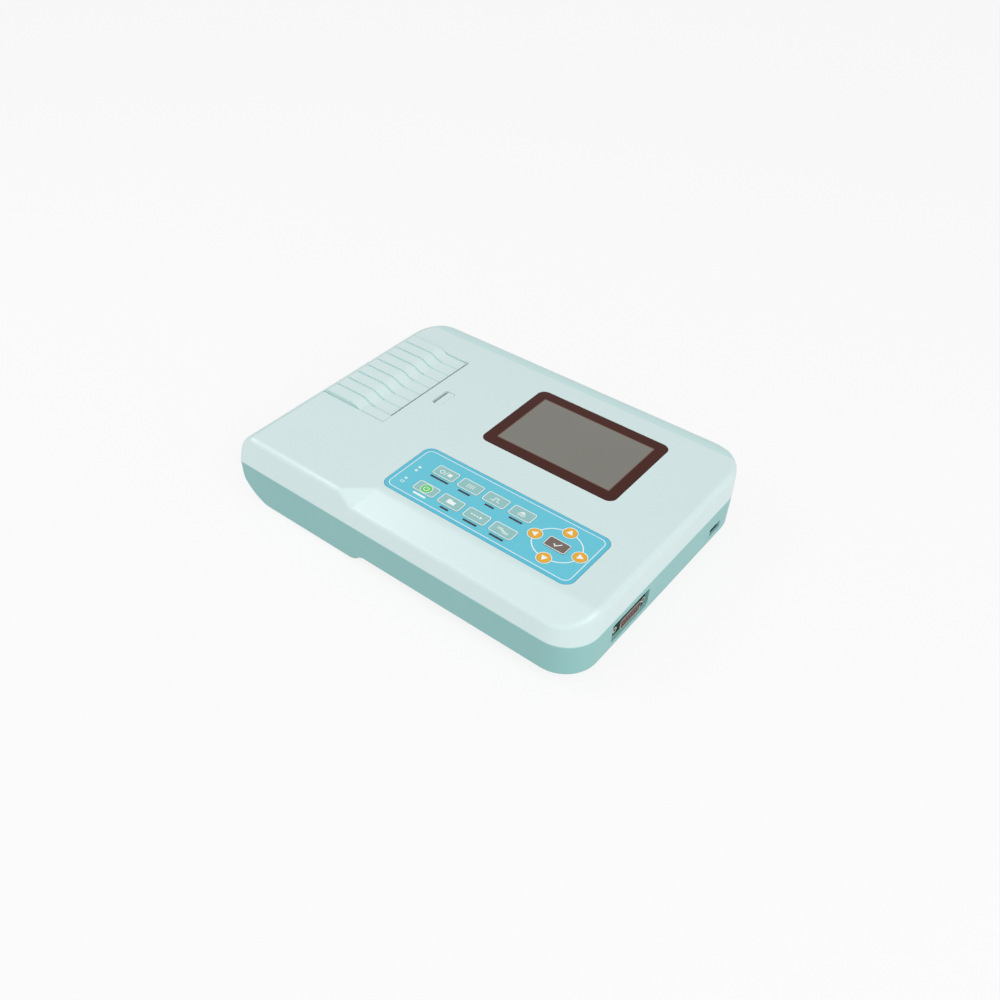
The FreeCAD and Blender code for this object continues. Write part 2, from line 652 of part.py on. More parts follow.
lower_bores.append(block("door_opening", door_left, door_right, door_front, door_back,
                         d.right_floor, d.right_floor + d.door_thick))
lower_bores.append(block("battery_mouth", door_left + d.door_ledge, door_right - d.door_ledge,
                         door_front + d.door_ledge, door_back - d.door_ledge,
                         d.right_floor, d.right_floor + d.shell_wall))
door_screws = [(x, (door_front + door_back) / 2)
               for x in (door_left + d.door_ledge / 2, door_right - d.door_ledge / 2)]
for index, (x, y) in enumerate(door_screws):
    lower_extras.append(rod("door_post_%d" % index, "z", x, y, d.right_floor + d.door_thick, d.post_radius,
                            d.board_level - d.right_floor - d.door_thick))
    lower_bores.append(rod("door_post_bore_%d" % index, "z", x, y, d.right_floor, d.screw_radius,
                           d.board_level - d.right_floor))
node("lower_casing", cut("lower_casing", fuse("lower_whole", lower_extras), lower_bores))

# fasteners and feet


def screw(name, x, y, z, length):
    """A slotted screw seated at a point, its shank running up."""
    shank = rod(name + "_shank", "z", x, y, z, d.screw_radius, length)
    head_z = z - d.screw_head_high
    head = rod(name + "_head", "z", x, y, head_z, d.screw_head, d.screw_head_high)
    slot = block(name + "_slot", x - d.screw_head, x + d.screw_head, y - d.screw_slot, y + d.screw_slot,
                 head_z, head_z + d.screw_head_high / 3)
    return cut(name, fuse(name + "_blank", [shank, head]), [slot])


def board_screw(name, x, y):
    """A round-headed screw through a board, down into its post."""
    length = d.board_level - d.right_floor - d.shell_wall + d.board_thick
    shank = rod(name + "_shank", "z", x, y, board_top - length, d.screw_radius, length)
    head = rod(name + "_head", "z", x, y, board_top, d.screw_head, d.screw_head_high)
    return fuse(name, [shank, head])


node("casing_screws", group("casing_screws", [
    screw("casing_screw_%d" % index, x, y, d.seam_level - d.screw_seat,
          d.screw_seat + d.screw_reach - d.screw_spare)
    for index, (x, y) in enumerate(boss_places)]))
node("board_screws", group("board_screws", [
    board_screw("board_screw_%d" % index, x, y) for index, (x, y) in enumerate(board_posts + supply_posts)]))
node("rubber_feet", group("rubber_feet", [
    rod("foot_%d" % index, "z", x, y, as_size(0), d.foot_radius, d.foot_height)
    for index, (x, y) in enumerate(foot_places)]))

# paper cover and its hinge

crown_level = d.hinge_level + d.knuckle_radius
slope_half = (crease_x - slope_start) / 2
slope_drop = (crown_level - d.deck_level) / 2
slope_round = (slope_half * slope_half + slope_drop * slope_drop) / (2 * slope_drop)
slope_middle = slope_start + slope_half
lid_under = crown_level - d.cover_wall
deck_under = d.deck_level - d.cover_wall
platen_front = d.paper_centre - d.paper_width / 2 - d.platen_overhang
platen_back = d.paper_centre + d.paper_width / 2 + d.platen_overhang
front_arm = platen_front - d.arm_gap - d.arm_width
back_arm = platen_back + d.arm_gap

lid = prism_y("lid", [[(hinge_x, lid_under), (slope_start, lid_under, -slope_round),
                       (slope_middle, lid_under - slope_drop, slope_round), (crease_x, deck_under),
                       (cover_right, deck_under), (cover_right, d.deck_level),
                       (crease_x, d.deck_level, -slope_round),
                       (slope_middle, d.deck_level + slope_drop, slope_round),
                       (slope_start, crown_level), (hinge_x, crown_level)]], d.cover_front, d.cover_back)
lid_strip = block("lid_strip", crease_x - slope_half / 2, opening_right - d.cover_gap, d.cover_front,
                  d.cover_front + d.front_strip, deck_under, d.top_level - d.strip_drop)
lid_parts = [lid, lid_strip, rod("barrel", "y", hinge_x, d.cover_front, d.hinge_level, d.knuckle_radius,
                                 d.cover_back - d.cover_front)]
for name, front in (("front_arm", front_arm), ("back_arm", back_arm)):
    lid_parts.append(prism_y(name, [[(platen_x - d.arm_half, d.platen_level, d.arm_half),
                                     (platen_x, d.platen_level - d.arm_half, d.arm_half),
                                     (platen_x + d.arm_half, d.platen_level),
                                     (platen_x + d.arm_half, d.deck_level - d.cover_wall / 2),
                                     (platen_x - d.arm_half, d.deck_level - d.cover_wall / 2)]], front,
                                     front + d.arm_width))
lid_tools = [rod("barrel_bore", "y", hinge_x, d.cover_front, d.hinge_level,
                 d.hinge_pin_radius + d.running_clearance,
                 d.cover_back - d.cover_front),
             rod("arm_bore", "y", platen_x, front_arm, d.platen_level, d.bush_radius,
                 back_arm + d.arm_width - front_arm)]
rib_pitch = (d.cover_back - d.cover_front) / d.rib_count
groove_floor = [(hinge_x, crown_level - d.groove_depth), (slope_start, crown_level - d.groove_depth,
                                                          -slope_round),
                (slope_middle, crown_level - d.groove_depth - slope_drop, slope_round),
                (crease_x, d.deck_level - d.groove_depth), (crease_x, crown_level + d.cut_over),
                (hinge_x, crown_level + d.cut_over)]
for index in range(1, int(SIZES["rib_count"])):
    middle = d.cover_front + index * rib_pitch
    lid_tools.append(prism_y("groove_%d" % index, [groove_floor], middle - d.groove_width / 2,
                             middle + d.groove_width / 2))
node("paper_cover", cut("paper_cover", fuse("lid_whole", lid_parts), lid_tools))
node("cover_hinge_pin", rod("cover_hinge_pin", "y", hinge_x, ear_places[0], d.hinge_level, d.hinge_pin_radius,
                            ear_places[1] + d.ear_width - ear_places[0]))

# platen and gear train

gear_back = front_arm - d.arm_gap
gear_front = gear_back - d.gear_width
hook_back = gear_front - d.hook_gap
hook_front = hook_back - d.hook_width
rear_hook = back_arm + d.arm_width + d.hook_gap


def ring(name, x, front, z, outer, inner, length):
    """A tube along Y."""
    return cut(name, rod(name + "_outer", "y", x, front, z, outer, length),
               [rod(name + "_bore", "y", x, front, z, inner, length)])


node("platen_roller", ring("platen_roller", platen_x, platen_front, d.platen_level, d.platen_radius,
                           d.platen_core,
                           platen_back - platen_front))
node("platen_shaft", fuse("platen_shaft", [
    rod("shaft_core", "y", platen_x, platen_front, d.platen_level, d.platen_core, platen_back - platen_front),
    rod("shaft_journals", "y", platen_x, hook_front, d.platen_level, d.journal_radius,
        rear_hook + d.hook_width - hook_front)]))
node("platen_bushes", group("platen_bushes", [
    ring("bush_%d" % index, platen_x, front, d.platen_level, d.bush_radius,
         d.journal_radius + d.running_clearance,
         d.arm_width) for index, front in enumerate((front_arm, back_arm))]))

ADDENDUM = 0.85
DEDENDUM = 1.1
PRESSURE_ANGLE = math.radians(20)
FLANK_STEPS = 4


def involute(angle):
    return math.tan(angle) - angle


def gear_outline(teeth, module, backlash, phase):
    """Points of a spur gear about the origin, with one tooth pointing at the phase angle."""
    pitch = teeth * module / 2
    base = pitch * math.cos(PRESSURE_ANGLE)
    tip = pitch + ADDENDUM * module
    root = pitch - DEDENDUM * module
    half = (math.pi * module / 2 - backlash / 2) / pitch / 2 + involute(PRESSURE_ANGLE)
    radii = [max(base, root) + (tip - max(base,
                                          root)) * step / FLANK_STEPS for step in range(FLANK_STEPS + 1)]
    flank = [(root, half)]
    flank += [(radius, half - involute(math.acos(base / radius))) for radius in radii if radius > root]
    points = []
    for tooth in range(teeth):
        middle = phase + tooth * 2 * math.pi / teeth
        points += [(radius, middle - turn) for radius, turn in flank]
        points += [(radius, middle + turn) for radius, turn in reversed(flank)]
    return [(radius * math.cos(turn), radius * math.sin(turn)) for radius, turn in points]


def spur_gear(name, x, z, teeth, phase, bore):
    """A gear on an axis along Y, with a bore."""
    corners = [FreeCAD.Vector(num(x) + across, num(gear_front), num(z) + up)
               for across, up in gear_outline(int(num(teeth)), num(d.gear_module), num(d.tooth_backlash),
                                              phase)]
    blank = doc.addObject("Part::Feature", name + "_blank")
    blank.Shape = Part.Face(Part.makePolygon(corners + corners[:1])).extrude(FreeCAD.Vector(0,
                                                                                            num(d.gear_width),
                                                                                            0))
    return cut(name, blank, [rod(name + "_hole", "y", x, gear_front, z, bore, d.gear_width)])


idler_reach = d.gear_module * (d.platen_teeth + d.idler_teeth) / 2 + d.mesh_clearance
opening_arm = math.hypot(num(platen_x - hinge_x), num(d.platen_level - d.hinge_level))
toward_idler = math.atan2(-num(platen_x - hinge_x), num(d.platen_level - d.hinge_level))
idler_x = platen_x + idler_reach * ((d.platen_level - d.hinge_level) / opening_arm)
idler_z = d.platen_level - idler_reach * ((platen_x - hinge_x) / opening_arm)
pinion_reach = d.gear_module * (d.idler_teeth + d.pinion_teeth) / 2 + d.mesh_clearance
toward_pinion = math.radians(num(d.pinion_angle))
pinion_x = idler_x + pinion_reach * math.cos(toward_pinion)
pinion_z = idler_z + pinion_reach * math.sin(toward_pinion)
idler_pitch = 2 * math.pi / num(d.idler_teeth)
pinion_pitch = 2 * math.pi / num(d.pinion_teeth)
idler_phase = toward_idler + math.pi + idler_pitch / 2
lag = (toward_pinion - idler_phase) % idler_pitch
pinion_phase = toward_pinion + math.pi + lag * pinion_pitch / idler_pitch + pinion_pitch / 2

node("platen_gear", spur_gear("platen_gear", platen_x, d.platen_level, d.platen_teeth, toward_idler,
                              d.journal_radius))
node("idler_gear", spur_gear("idler_gear", idler_x, idler_z, d.idler_teeth, idler_phase,
                             d.idler_post_radius + d.running_clearance))
pinion_wheel = spur_gear("pinion_wheel", pinion_x, pinion_z, d.pinion_teeth, pinion_phase,
                         d.motor_shaft_radius)
motor_back = hook_front - 2 * d.hook_gap
motor_face = motor_back - d.chassis_wall
pinion_shaft = rod("pinion_shaft", "y", pinion_x, motor_face - d.chassis_wall, pinion_z, d.motor_shaft_radius,
                   gear_back - motor_face + d.chassis_wall)
node("motor_pinion", fuse("motor_pinion", [pinion_wheel, pinion_shaft]))
node("idler_post", rod("idler_post", "y", idler_x, motor_back, idler_z, d.idler_post_radius,
                       gear_back - motor_back + d.hook_gap))
motor_can = rod("motor_can", "y", pinion_x, motor_face - d.motor_length, pinion_z, d.motor_radius,
                d.motor_length)
motor_boss = rod("motor_boss", "y", pinion_x, motor_face, pinion_z, d.motor_boss, d.chassis_wall)
node("feed_motor", cut("feed_motor", fuse("motor_whole", [motor_can, motor_boss]), [
    rod("motor_bore", "y", pinion_x, motor_face - d.chassis_wall, pinion_z,
        d.motor_shaft_radius + d.running_clearance,
        2 * d.chassis_wall)]))

# paper roll

paper_front = d.paper_centre - d.paper_width / 2
cheek_front = platen_front - d.chassis_wall
cheek_back = platen_back + d.chassis_wall
core_bore = d.core_radius - d.core_wall
node("paper_roll", ring("paper_roll", roll_x, paper_front, d.roll_level, d.roll_radius, d.core_radius,
                        d.paper_width))
node("paper_core", ring("paper_core", roll_x, paper_front, d.roll_level, d.core_radius, core_bore,
                        d.paper_width))
node("paper_spindle", fuse("paper_spindle", [
    rod("spindle_body", "y", roll_x, paper_front, d.roll_level, core_bore, d.paper_width),
    rod("spindle_stubs", "y", roll_x, cheek_front, d.roll_level, d.spindle_stub, cheek_back - cheek_front)]))

# printer chassis and thermal head

tub_floor = d.left_floor + d.shell_wall
head_face = platen_x + d.platen_radius + d.paper_gap
head_back = head_face + d.head_strip_thick + d.head_thick
wall_x = head_back + d.chassis_wall
spring_left = latch_right - d.lug_thick - d.spring_bow
cheek_plan = [(chassis_left, tub_floor), (head_back, tub_floor), (head_back, d.cheek_top),
              (cheek_left, d.cheek_top),
              (cheek_left, d.roll_level - d.platen_radius)]
chassis_parts = [
    prism_y("front_cheek", [cheek_plan], cheek_front, platen_front),
    prism_y("back_cheek", [cheek_plan], platen_back, cheek_back),
    block("chassis_base", chassis_left, wall_x, motor_face, cheek_back, tub_floor,
          tub_floor + d.chassis_wall),
    block("cross_wall", head_back, wall_x, cheek_front, cheek_back, tub_floor, d.shelf_level),
    block("latch_shelf", head_back, spring_left, cheek_front, cheek_back, d.shelf_level - d.chassis_wall,
          d.shelf_level),
    block("motor_wall", motor_wall_left, motor_wall_right, motor_face, motor_back, tub_floor,
          d.motor_wall_top),
    block("motor_wall_foot", wall_x, motor_wall_right, motor_face, motor_back, tub_floor,
          tub_floor + d.chassis_wall)]
slot_half = d.spindle_stub + d.running_clearance
chassis_tools = [
    block("stub_slots", roll_x - slot_half, roll_x + slot_half, cheek_front, cheek_back, d.roll_level,
          d.cheek_top),
    rod("stub_seats", "y", roll_x, cheek_front, d.roll_level, slot_half, cheek_back - cheek_front),
    rod("motor_hole", "y", pinion_x, motor_face, pinion_z, d.motor_boss + d.running_clearance,
        d.chassis_wall)]
node("printer_chassis", cut("printer_chassis", fuse("chassis_whole", chassis_parts), chassis_tools))
head_strip_back = head_face + d.head_strip_thick
node("print_head_plate", block("print_head_plate", head_strip_back, head_back, paper_front,
                               paper_front + d.paper_width,
                               d.head_low, d.head_high))
node("print_head_strip", block("print_head_strip", head_face, head_strip_back, paper_front,
                               paper_front + d.paper_width,
                               d.platen_level - d.arm_half, d.platen_level + d.bush_radius))

# latch

latch_low = d.shelf_level + d.latch_gap
latch_top = latch_low + d.latch_plate
tab_right = latch_x + d.latch_opening_x / 2 - d.latch_gap
tab_left = tab_right - d.latch_opening_x + d.latch_travel + 2 * d.latch_gap
tab_front = d.latch_y - d.latch_opening_y / 2 + d.latch_gap
tab_back = d.latch_y + d.latch_opening_y / 2 - d.latch_gap
hook_tip = platen_x - d.journal_radius - d.latch_gap / 2
hook_over = d.platen_level + d.journal_radius + d.latch_gap
hook_under = d.platen_level - d.journal_radius - d.latch_gap - d.hook_bar
hook_web = hook_tip - 2 * d.latch_travel
hook_plan = [(hook_web, hook_under), (latch_left + d.arm_half, hook_under),
             (latch_left + d.arm_half, latch_top),
             (latch_left, latch_top), (latch_left, hook_under + d.hook_bar),
             (hook_web + d.latch_travel, hook_under + d.hook_bar), (hook_web + d.latch_travel, hook_over),
             (hook_tip, hook_over), (hook_tip, hook_over + d.hook_bar), (hook_web, hook_over + d.hook_bar)]
latch_whole = fuse("latch_whole", [
    block("latch_plate_body", latch_left, latch_right, hook_front, rear_hook + d.hook_width, latch_low,
          latch_top),
    prism_z("latch_tab", [rounded(tab_left, tab_right, tab_front, tab_back, d.latch_corner - d.latch_gap)],
            latch_top - d.latch_plate / 2, d.top_level - d.tab_drop),
    block("latch_lug", latch_right - d.lug_thick, latch_right, d.spring_y - d.spring_half,
          d.spring_y + d.spring_half, d.shelf_level - d.chassis_wall, latch_low + d.latch_plate / 2),
    prism_y("front_hook", [hook_plan], hook_front, hook_back),
    prism_y("rear_hook", [hook_plan], rear_hook, rear_hook + d.hook_width)])
tab_slit = block("tab_slit", tab_left - d.latch_travel - d.latch_gap, tab_left, tab_front, tab_back,
                 latch_low, latch_top)
node("latch_slider", cut("latch_slider", latch_whole, [tab_slit]))
spring_round = (d.spring_half * d.spring_half + d.spring_bow * d.spring_bow) / (2 * d.spring_bow)
spring_low = d.shelf_level - d.spring_wide - d.spring_drop
node("latch_spring", prism_z("latch_spring", [[
    (spring_left, d.spring_y - d.spring_half, spring_round), (spring_left + d.spring_bow, d.spring_y,
                                                              spring_round),
    (spring_left, d.spring_y + d.spring_half), (spring_left, d.spring_y + d.spring_half - 2 * d.spring_thick,
                                                -spring_round),
    (spring_left + d.spring_bow - d.spring_thick, d.spring_y, -spring_round),
    (spring_left, d.spring_y - d.spring_half + 2 * d.spring_thick)]], spring_low, spring_low + d.spring_wide))

# screen

node("screen_window", prism_z("screen_window", [plate(screen_x, screen_y, d.screen_length, d.screen_depth,
                                                      d.screen_corner)], d.top_level - d.screen_thick,
                                                      d.top_level))
node("lcd_module", block("lcd_module", screen_x - d.lcd_length / 2, screen_x + d.lcd_length / 2,
                         window_y - d.lcd_depth / 2, window_y + d.lcd_depth / 2, ceiling - d.lcd_thick,
                         ceiling))

# keypad

key_columns = [keypad_x - d.first_column + index * d.key_pitch for index in range(4)]
bar_keys = dict(zip(("start_key", "menu_key", "calibrate_key", "report_key"),
                    [(x, keypad_y + d.back_row) for x in key_columns]))
bar_keys.update(zip(("power_key", "file_key", "speed_key", "filter_key"),
                    [(x, keypad_y - d.front_row) for x in key_columns]))
round_keys = {"left_key": (pad_x - d.pad_reach_x, pad_y), "right_key": (pad_x + d.pad_reach_x, pad_y),
              "up_key": (pad_x, pad_y + d.pad_reach_y), "down_key": (pad_x, pad_y - d.pad_reach_y)}
lamps = [(lamp_x, keypad_y - d.lamp_back), (lamp_x, keypad_y - d.lamp_front)]
circuit_top = keypad_floor + d.circuit_thick
spacer_top = circuit_top + d.spacer_thick
key_top = d.top_level + d.key_proud


def keypad_sheet(name, low, high):
    return prism_z(name, [plate(keypad_x, keypad_y, d.keypad_length, d.keypad_depth, d.keypad_corner)], low,
                   high)


key_wells = [prism_z("enter_well", [plate(pad_x, pad_y, d.enter_length + 2 * d.key_gap,
                                          d.enter_depth + 2 * d.key_gap, d.key_corner + d.key_gap)],
                     circuit_top, key_top)]
for name, (x, y) in bar_keys.items():
    key_wells.append(prism_z(name + "_well", [plate(x, y, d.key_length + 2 * d.key_gap,
                                                    d.key_depth + 2 * d.key_gap,
                                                    d.key_corner + d.key_gap)], circuit_top, key_top))
for name, (x, y) in round_keys.items():
    key_wells.append(rod(name + "_well", "z", x, y, circuit_top, d.pad_key_radius + d.key_gap,
                         key_top - circuit_top))
for index, (x, y) in enumerate(lamps):
    key_wells.append(rod("lamp_well_%d" % index, "z", x, y, circuit_top, d.lamp_radius,
                         key_top - circuit_top))
keypad_wells = group("keypad_wells", key_wells)
node("keypad_circuit", keypad_sheet("keypad_circuit", keypad_floor, circuit_top))
node("keypad_spacer", cut("keypad_spacer", keypad_sheet("spacer_sheet", circuit_top, spacer_top),
                          [keypad_wells]))
node("keypad_overlay", cut("keypad_overlay", keypad_sheet("overlay_sheet", spacer_top, d.top_level),
                           [keypad_wells]))
for name, (x, y) in bar_keys.items():
    node(name, prism_z(name, [plate(x, y, d.key_length, d.key_depth, d.key_corner)], spacer_top, key_top))
for name, (x, y) in round_keys.items():
    node(name, rod(name, "z", x, y, spacer_top, d.pad_key_radius, key_top - spacer_top))
node("enter_key", prism_z("enter_key", [plate(pad_x, pad_y, d.enter_length, d.enter_depth, d.key_corner)],
                          spacer_top, key_top))
node("indicator_lenses", group("indicator_lenses", [
    rod("lamp_%d" % index, "z", x, y, circuit_top, d.lamp_radius, d.top_level + d.lamp_proud - circuit_top)
    for index, (x, y) in enumerate(lamps)]))

# main board and its sockets


def board(name, x0, x1, y0, y1, posts):
    """A circuit board with a clearance-free hole over each post."""
    return cut(name, block(name + "_sheet", x0, x1, y0, y1, d.board_level, board_top),
               [rod("%s_hole_%d" % (name, index), "z", x, y, d.board_level, d.screw_radius, d.board_thick)
                for index, (x, y) in enumerate(posts)])


def part_on_board(name, x, y, length, depth, height):
    return block(name, x - length / 2, x + length / 2, y - depth / 2, y + depth / 2, board_top,
                 board_top + height)


node("main_board", board("main_board", board_left, board_right, board_front, board_back, board_posts))
board_middle = (board_left + board_right) / 2
board_centre = (board_front + board_back) / 2
node("board_parts", group("board_parts", [
    part_on_board("processor", board_middle, board_centre, d.chip_side, d.chip_side, d.chip_thick),
    part_on_board("memory_front", board_middle, board_centre - d.memory_reach, d.memory_length,
                  d.memory_depth,
                  d.memory_thick),
    part_on_board("memory_back", board_middle, board_centre + d.memory_reach, d.memory_length, d.memory_depth,
                  d.memory_thick),
    part_on_board("front_end", board_middle - d.board_margin, dsub_y, d.amplifier_side, d.amplifier_side,
                  d.memory_thick)]))

D_SLANT = math.radians(10)
WIDE_TANGENT = 1 / math.tan((math.pi / 2 - D_SLANT) / 2)
NARROW_TANGENT = 1 / math.tan((math.pi / 2 + D_SLANT) / 2)


def d_outline(length, depth, corner):
    """The connector's D: long side up, ends drawn in by ten degrees, corners rounded."""
    wide = length / 2
    narrow = wide - depth * math.tan(D_SLANT)
    top = dsub_level + depth / 2
    low = dsub_level - depth / 2
    wide_run = corner * WIDE_TANGENT
    narrow_run = corner * NARROW_TANGENT
    across = math.sin(D_SLANT)
    up = math.cos(D_SLANT)
    y = dsub_y
    return [(y - narrow + narrow_run, low), (y + narrow - narrow_run, low, corner),
            (y + narrow + narrow_run * across, low + narrow_run * up),
            (y + wide - wide_run * across, top - wide_run * up, corner),
            (y + wide - wide_run, top), (y - wide + wide_run, top, corner),
            (y - wide + wide_run * across, top - wide_run * up),
            (y - narrow - narrow_run * across, low + narrow_run * up, corner)]


flange_face = flange_x + 2 * d.dsub_wall
inner_length = d.dsub_length - 2 * d.dsub_wall
inner_depth = d.dsub_depth - 2 * d.dsub_wall
inner_corner = d.dsub_corner - d.dsub_wall
node("ecg_connector_shell", fuse("ecg_connector_shell", [
    prism_x("dsub_flange", [plate(dsub_y, dsub_level, d.flange_length, d.flange_depth, d.dsub_corner),
                            d_outline(inner_length, inner_depth, inner_corner)], flange_x, flange_face),
    prism_x("dsub_shell", [d_outline(d.dsub_length, d.dsub_depth, d.dsub_corner),
                           d_outline(inner_length, inner_depth, inner_corner)], flange_x,
                           flange_face + d.dsub_reach)]))
insert_body = new_body("insert_face")
insert_plan = outline(sketch(insert_body, "insert_plan", "YZ_Plane", flange_x),
                      d_outline(inner_length, inner_depth, inner_corner))
for count, offset in ((8, d.contact_row / 2), (7, -d.contact_row / 2)):
    for index in range(count):
        circle(insert_plan, dsub_y + (index - (count - 1) / 2) * d.contact_pitch, dsub_level + offset,
               d.contact_radius)
pad(insert_body, insert_plan, flange_face + d.dsub_reach - d.dsub_wall - flange_x)
node("ecg_connector_insert", fuse("ecg_connector_insert", [
    insert_body, block("connector_housing", flange_x - d.housing_depth, flange_x, dsub_y - d.jack_spacing / 2,
                       dsub_y + d.jack_spacing / 2, board_top, dsub_level + d.flange_depth / 2)]))


def jackscrew(name, y):
    """A hexagonal standoff with a threaded bore, on the connector's flange."""
    body = new_body(name)
    plan = sketch(body, name + "_plan", "YZ_Plane", flange_face)
    outline(plan, [(y + d.jack_radius * math.cos(turn), dsub_level + d.jack_radius * math.sin(turn))
                   for turn in [math.radians(60 * step) for step in range(6)]])
    circle(plan, y, dsub_level, d.jack_bore)
    pad(body, plan, d.jack_length)
    return body


node("ecg_jackscrews", group("ecg_jackscrews", [
    jackscrew("jackscrew_%d" % index, dsub_y + side * d.jack_spacing / 2) for index,
    side in enumerate((-1, 1))]))

usb_left = usb_x - d.usb_depth
usb_front = usb_y - d.usb_length / 2
usb_back = usb_y + d.usb_length / 2
usb_top = board_top + d.usb_high
node("usb_shell", cut("usb_shell", block("usb_can", usb_left, usb_x, usb_front, usb_back, board_top, usb_top),
                      [
    block("usb_mouth", usb_left + d.usb_wall, usb_x, usb_front + d.usb_wall, usb_back - d.usb_wall,
          board_top + d.usb_wall, usb_top - d.usb_wall)]))
node("usb_tongue", block("usb_tongue", usb_left + d.usb_wall, usb_x - d.tongue_back,
                         usb_front + 3 * d.usb_wall,
                         usb_back - 3 * d.usb_wall, usb_top - 3 * d.usb_wall - d.tongue_thick,
                         usb_top - 3 * d.usb_wall))

# power supply and rear sockets

node("power_board", board("power_board", supply_left, supply_right, supply_front, supply_back, supply_posts))
supply_y = (supply_front + supply_back) / 2
node("power_parts", group("power_parts", [
    part_on_board("transformer", inlet_x + d.transformer_shift, supply_y, d.transformer_length,
                  d.transformer_depth,
                  d.transformer_high),
    rod("capacitor", "z", rocker_x + d.capacitor_shift, supply_y, board_top, d.capacitor_radius,
        d.capacitor_high),
    part_on_board("regulator", stud_x, supply_y, d.regulator_length, d.regulator_depth, d.regulator_high)]))

flange_back = panel_face + d.inlet_flange
cavity_length = d.inlet_body_length - 2 * d.inlet_wall
cavity_high = d.inlet_body_high - 2 * d.inlet_wall
cavity_floor = flange_back - d.inlet_body_depth + d.inlet_floor
cavity_left = inlet_x - cavity_length / 2
cavity_right = inlet_x + cavity_length / 2
cavity_low = d.rear_level - cavity_high / 2
cavity_top = d.rear_level + cavity_high / 2
inlet_cavity = prism_y("inlet_cavity", [[(cavity_left, cavity_low), (cavity_right, cavity_low),
                                         (cavity_right, cavity_top - d.inlet_corner),
                                         (cavity_right - d.inlet_corner, cavity_top),
                                         (cavity_left + d.inlet_corner, cavity_top),
                                         (cavity_left, cavity_top - d.inlet_corner)]], cavity_floor,
                                         flange_back)
node("mains_inlet", cut("mains_inlet", fuse("inlet_whole", [
    prism_y("inlet_flange", [plate(inlet_x, d.rear_level, d.inlet_length, d.inlet_high, d.dsub_corner)],
            panel_face,
            flange_back),
    block("inlet_body", inlet_x - d.inlet_body_length / 2, inlet_x + d.inlet_body_length / 2,
          flange_back - d.inlet_body_depth, panel_face, d.rear_level - d.inlet_body_high / 2,
          d.rear_level + d.inlet_body_high / 2)]), [inlet_cavity]))
blade_places = [(inlet_x - d.blade_spacing / 2, d.rear_level - d.blade_offset),
                (inlet_x + d.blade_spacing / 2, d.rear_level - d.blade_offset),
                (inlet_x, d.rear_level + d.blade_offset)]
node("inlet_blades", group("inlet_blades", [
    block("blade_%d" % index, x - d.blade_thick / 2, x + d.blade_thick / 2, cavity_floor,
          cavity_floor + d.blade_long,
          z - d.blade_wide / 2, z + d.blade_wide / 2) for index, (x, z) in enumerate(blade_places)]))

rocker_flange = panel_face + d.rocker_flange
rocker_left = rocker_x - d.rocker_body_length / 2
rocker_right = rocker_x + d.rocker_body_length / 2
rocker_half = d.paddle_radius + d.rocker_gap
node("rocker_frame", cut("rocker_frame", fuse("rocker_whole", [
    prism_y("rocker_flange", [plate(rocker_x, d.rear_level, d.rocker_length, d.rocker_high, d.dsub_corner)],
            panel_face,
            rocker_flange),
    block("rocker_body", rocker_left, rocker_right, rocker_flange - d.rocker_body_depth, panel_face,
          d.rear_level - d.rocker_body_high / 2, d.rear_level + d.rocker_body_high / 2)]), [
    block("rocker_well", rocker_left + d.rocker_wall, rocker_right - d.rocker_wall,
          panel_face - d.paddle_radius,
          rocker_flange, d.rear_level - rocker_half, d.rear_level + rocker_half),
    rod("axle_bore", "x", rocker_left, panel_face, d.rear_level, d.paddle_axle + d.running_clearance,
        d.rocker_body_length)]))


def chord_half(offset):
    """Half the chord of the paddle's circle at a distance from its axle."""
    return math.sqrt(1 - (num(offset) / num(d.paddle_radius)) ** 2) * d.paddle_radius


front_reach = chord_half(d.paddle_front)
back_reach = chord_half(d.paddle_back)
paddle_half = d.rocker_body_length / 2 - d.rocker_wall - d.rocker_gap
paddle_bar = prism_x("paddle_bar", [[(d.paddle_front, -front_reach), (d.paddle_dip, 0),
                                     (d.paddle_front, front_reach, d.paddle_radius),
                                     (-d.paddle_back, back_reach),
                                     (-d.paddle_back, -back_reach, d.paddle_radius)]],
                     -paddle_half, paddle_half)
paddle = fuse("rocker_paddle", [paddle_bar, rod("paddle_axle", "x", d.axle_gap - d.rocker_body_length / 2,
                                                as_size(0), as_size(0),
                                                d.paddle_axle, d.rocker_body_length - 2 * d.axle_gap)])
paddle.Placement = FreeCAD.Placement(FreeCAD.Vector(), FreeCAD.Rotation(FreeCAD.Vector(1, 0, 0),
                                                                        -num(d.rocker_tilt)))
for path, value in (("x", rocker_x), ("y", panel_face), ("z", d.rear_level)):
    tie(paddle, "Placement.Base." + path, value)
node("rocker_paddle", paddle)
node("earth_stud", fuse("earth_stud", [
    rod("stud_pin", "y", stud_x, panel_face - recess_wall - d.stud_collar_thick, d.rear_level, d.stud_radius,
        recess_wall + d.stud_collar_thick + d.stud_length),
    rod("stud_collar", "y", stud_x, panel_face, d.rear_level, d.stud_collar, d.stud_collar_thick),
    rod("stud_nut", "y", stud_x, panel_face - recess_wall - d.stud_collar_thick, d.rear_level, d.stud_collar,
        d.stud_collar_thick)]))

# battery

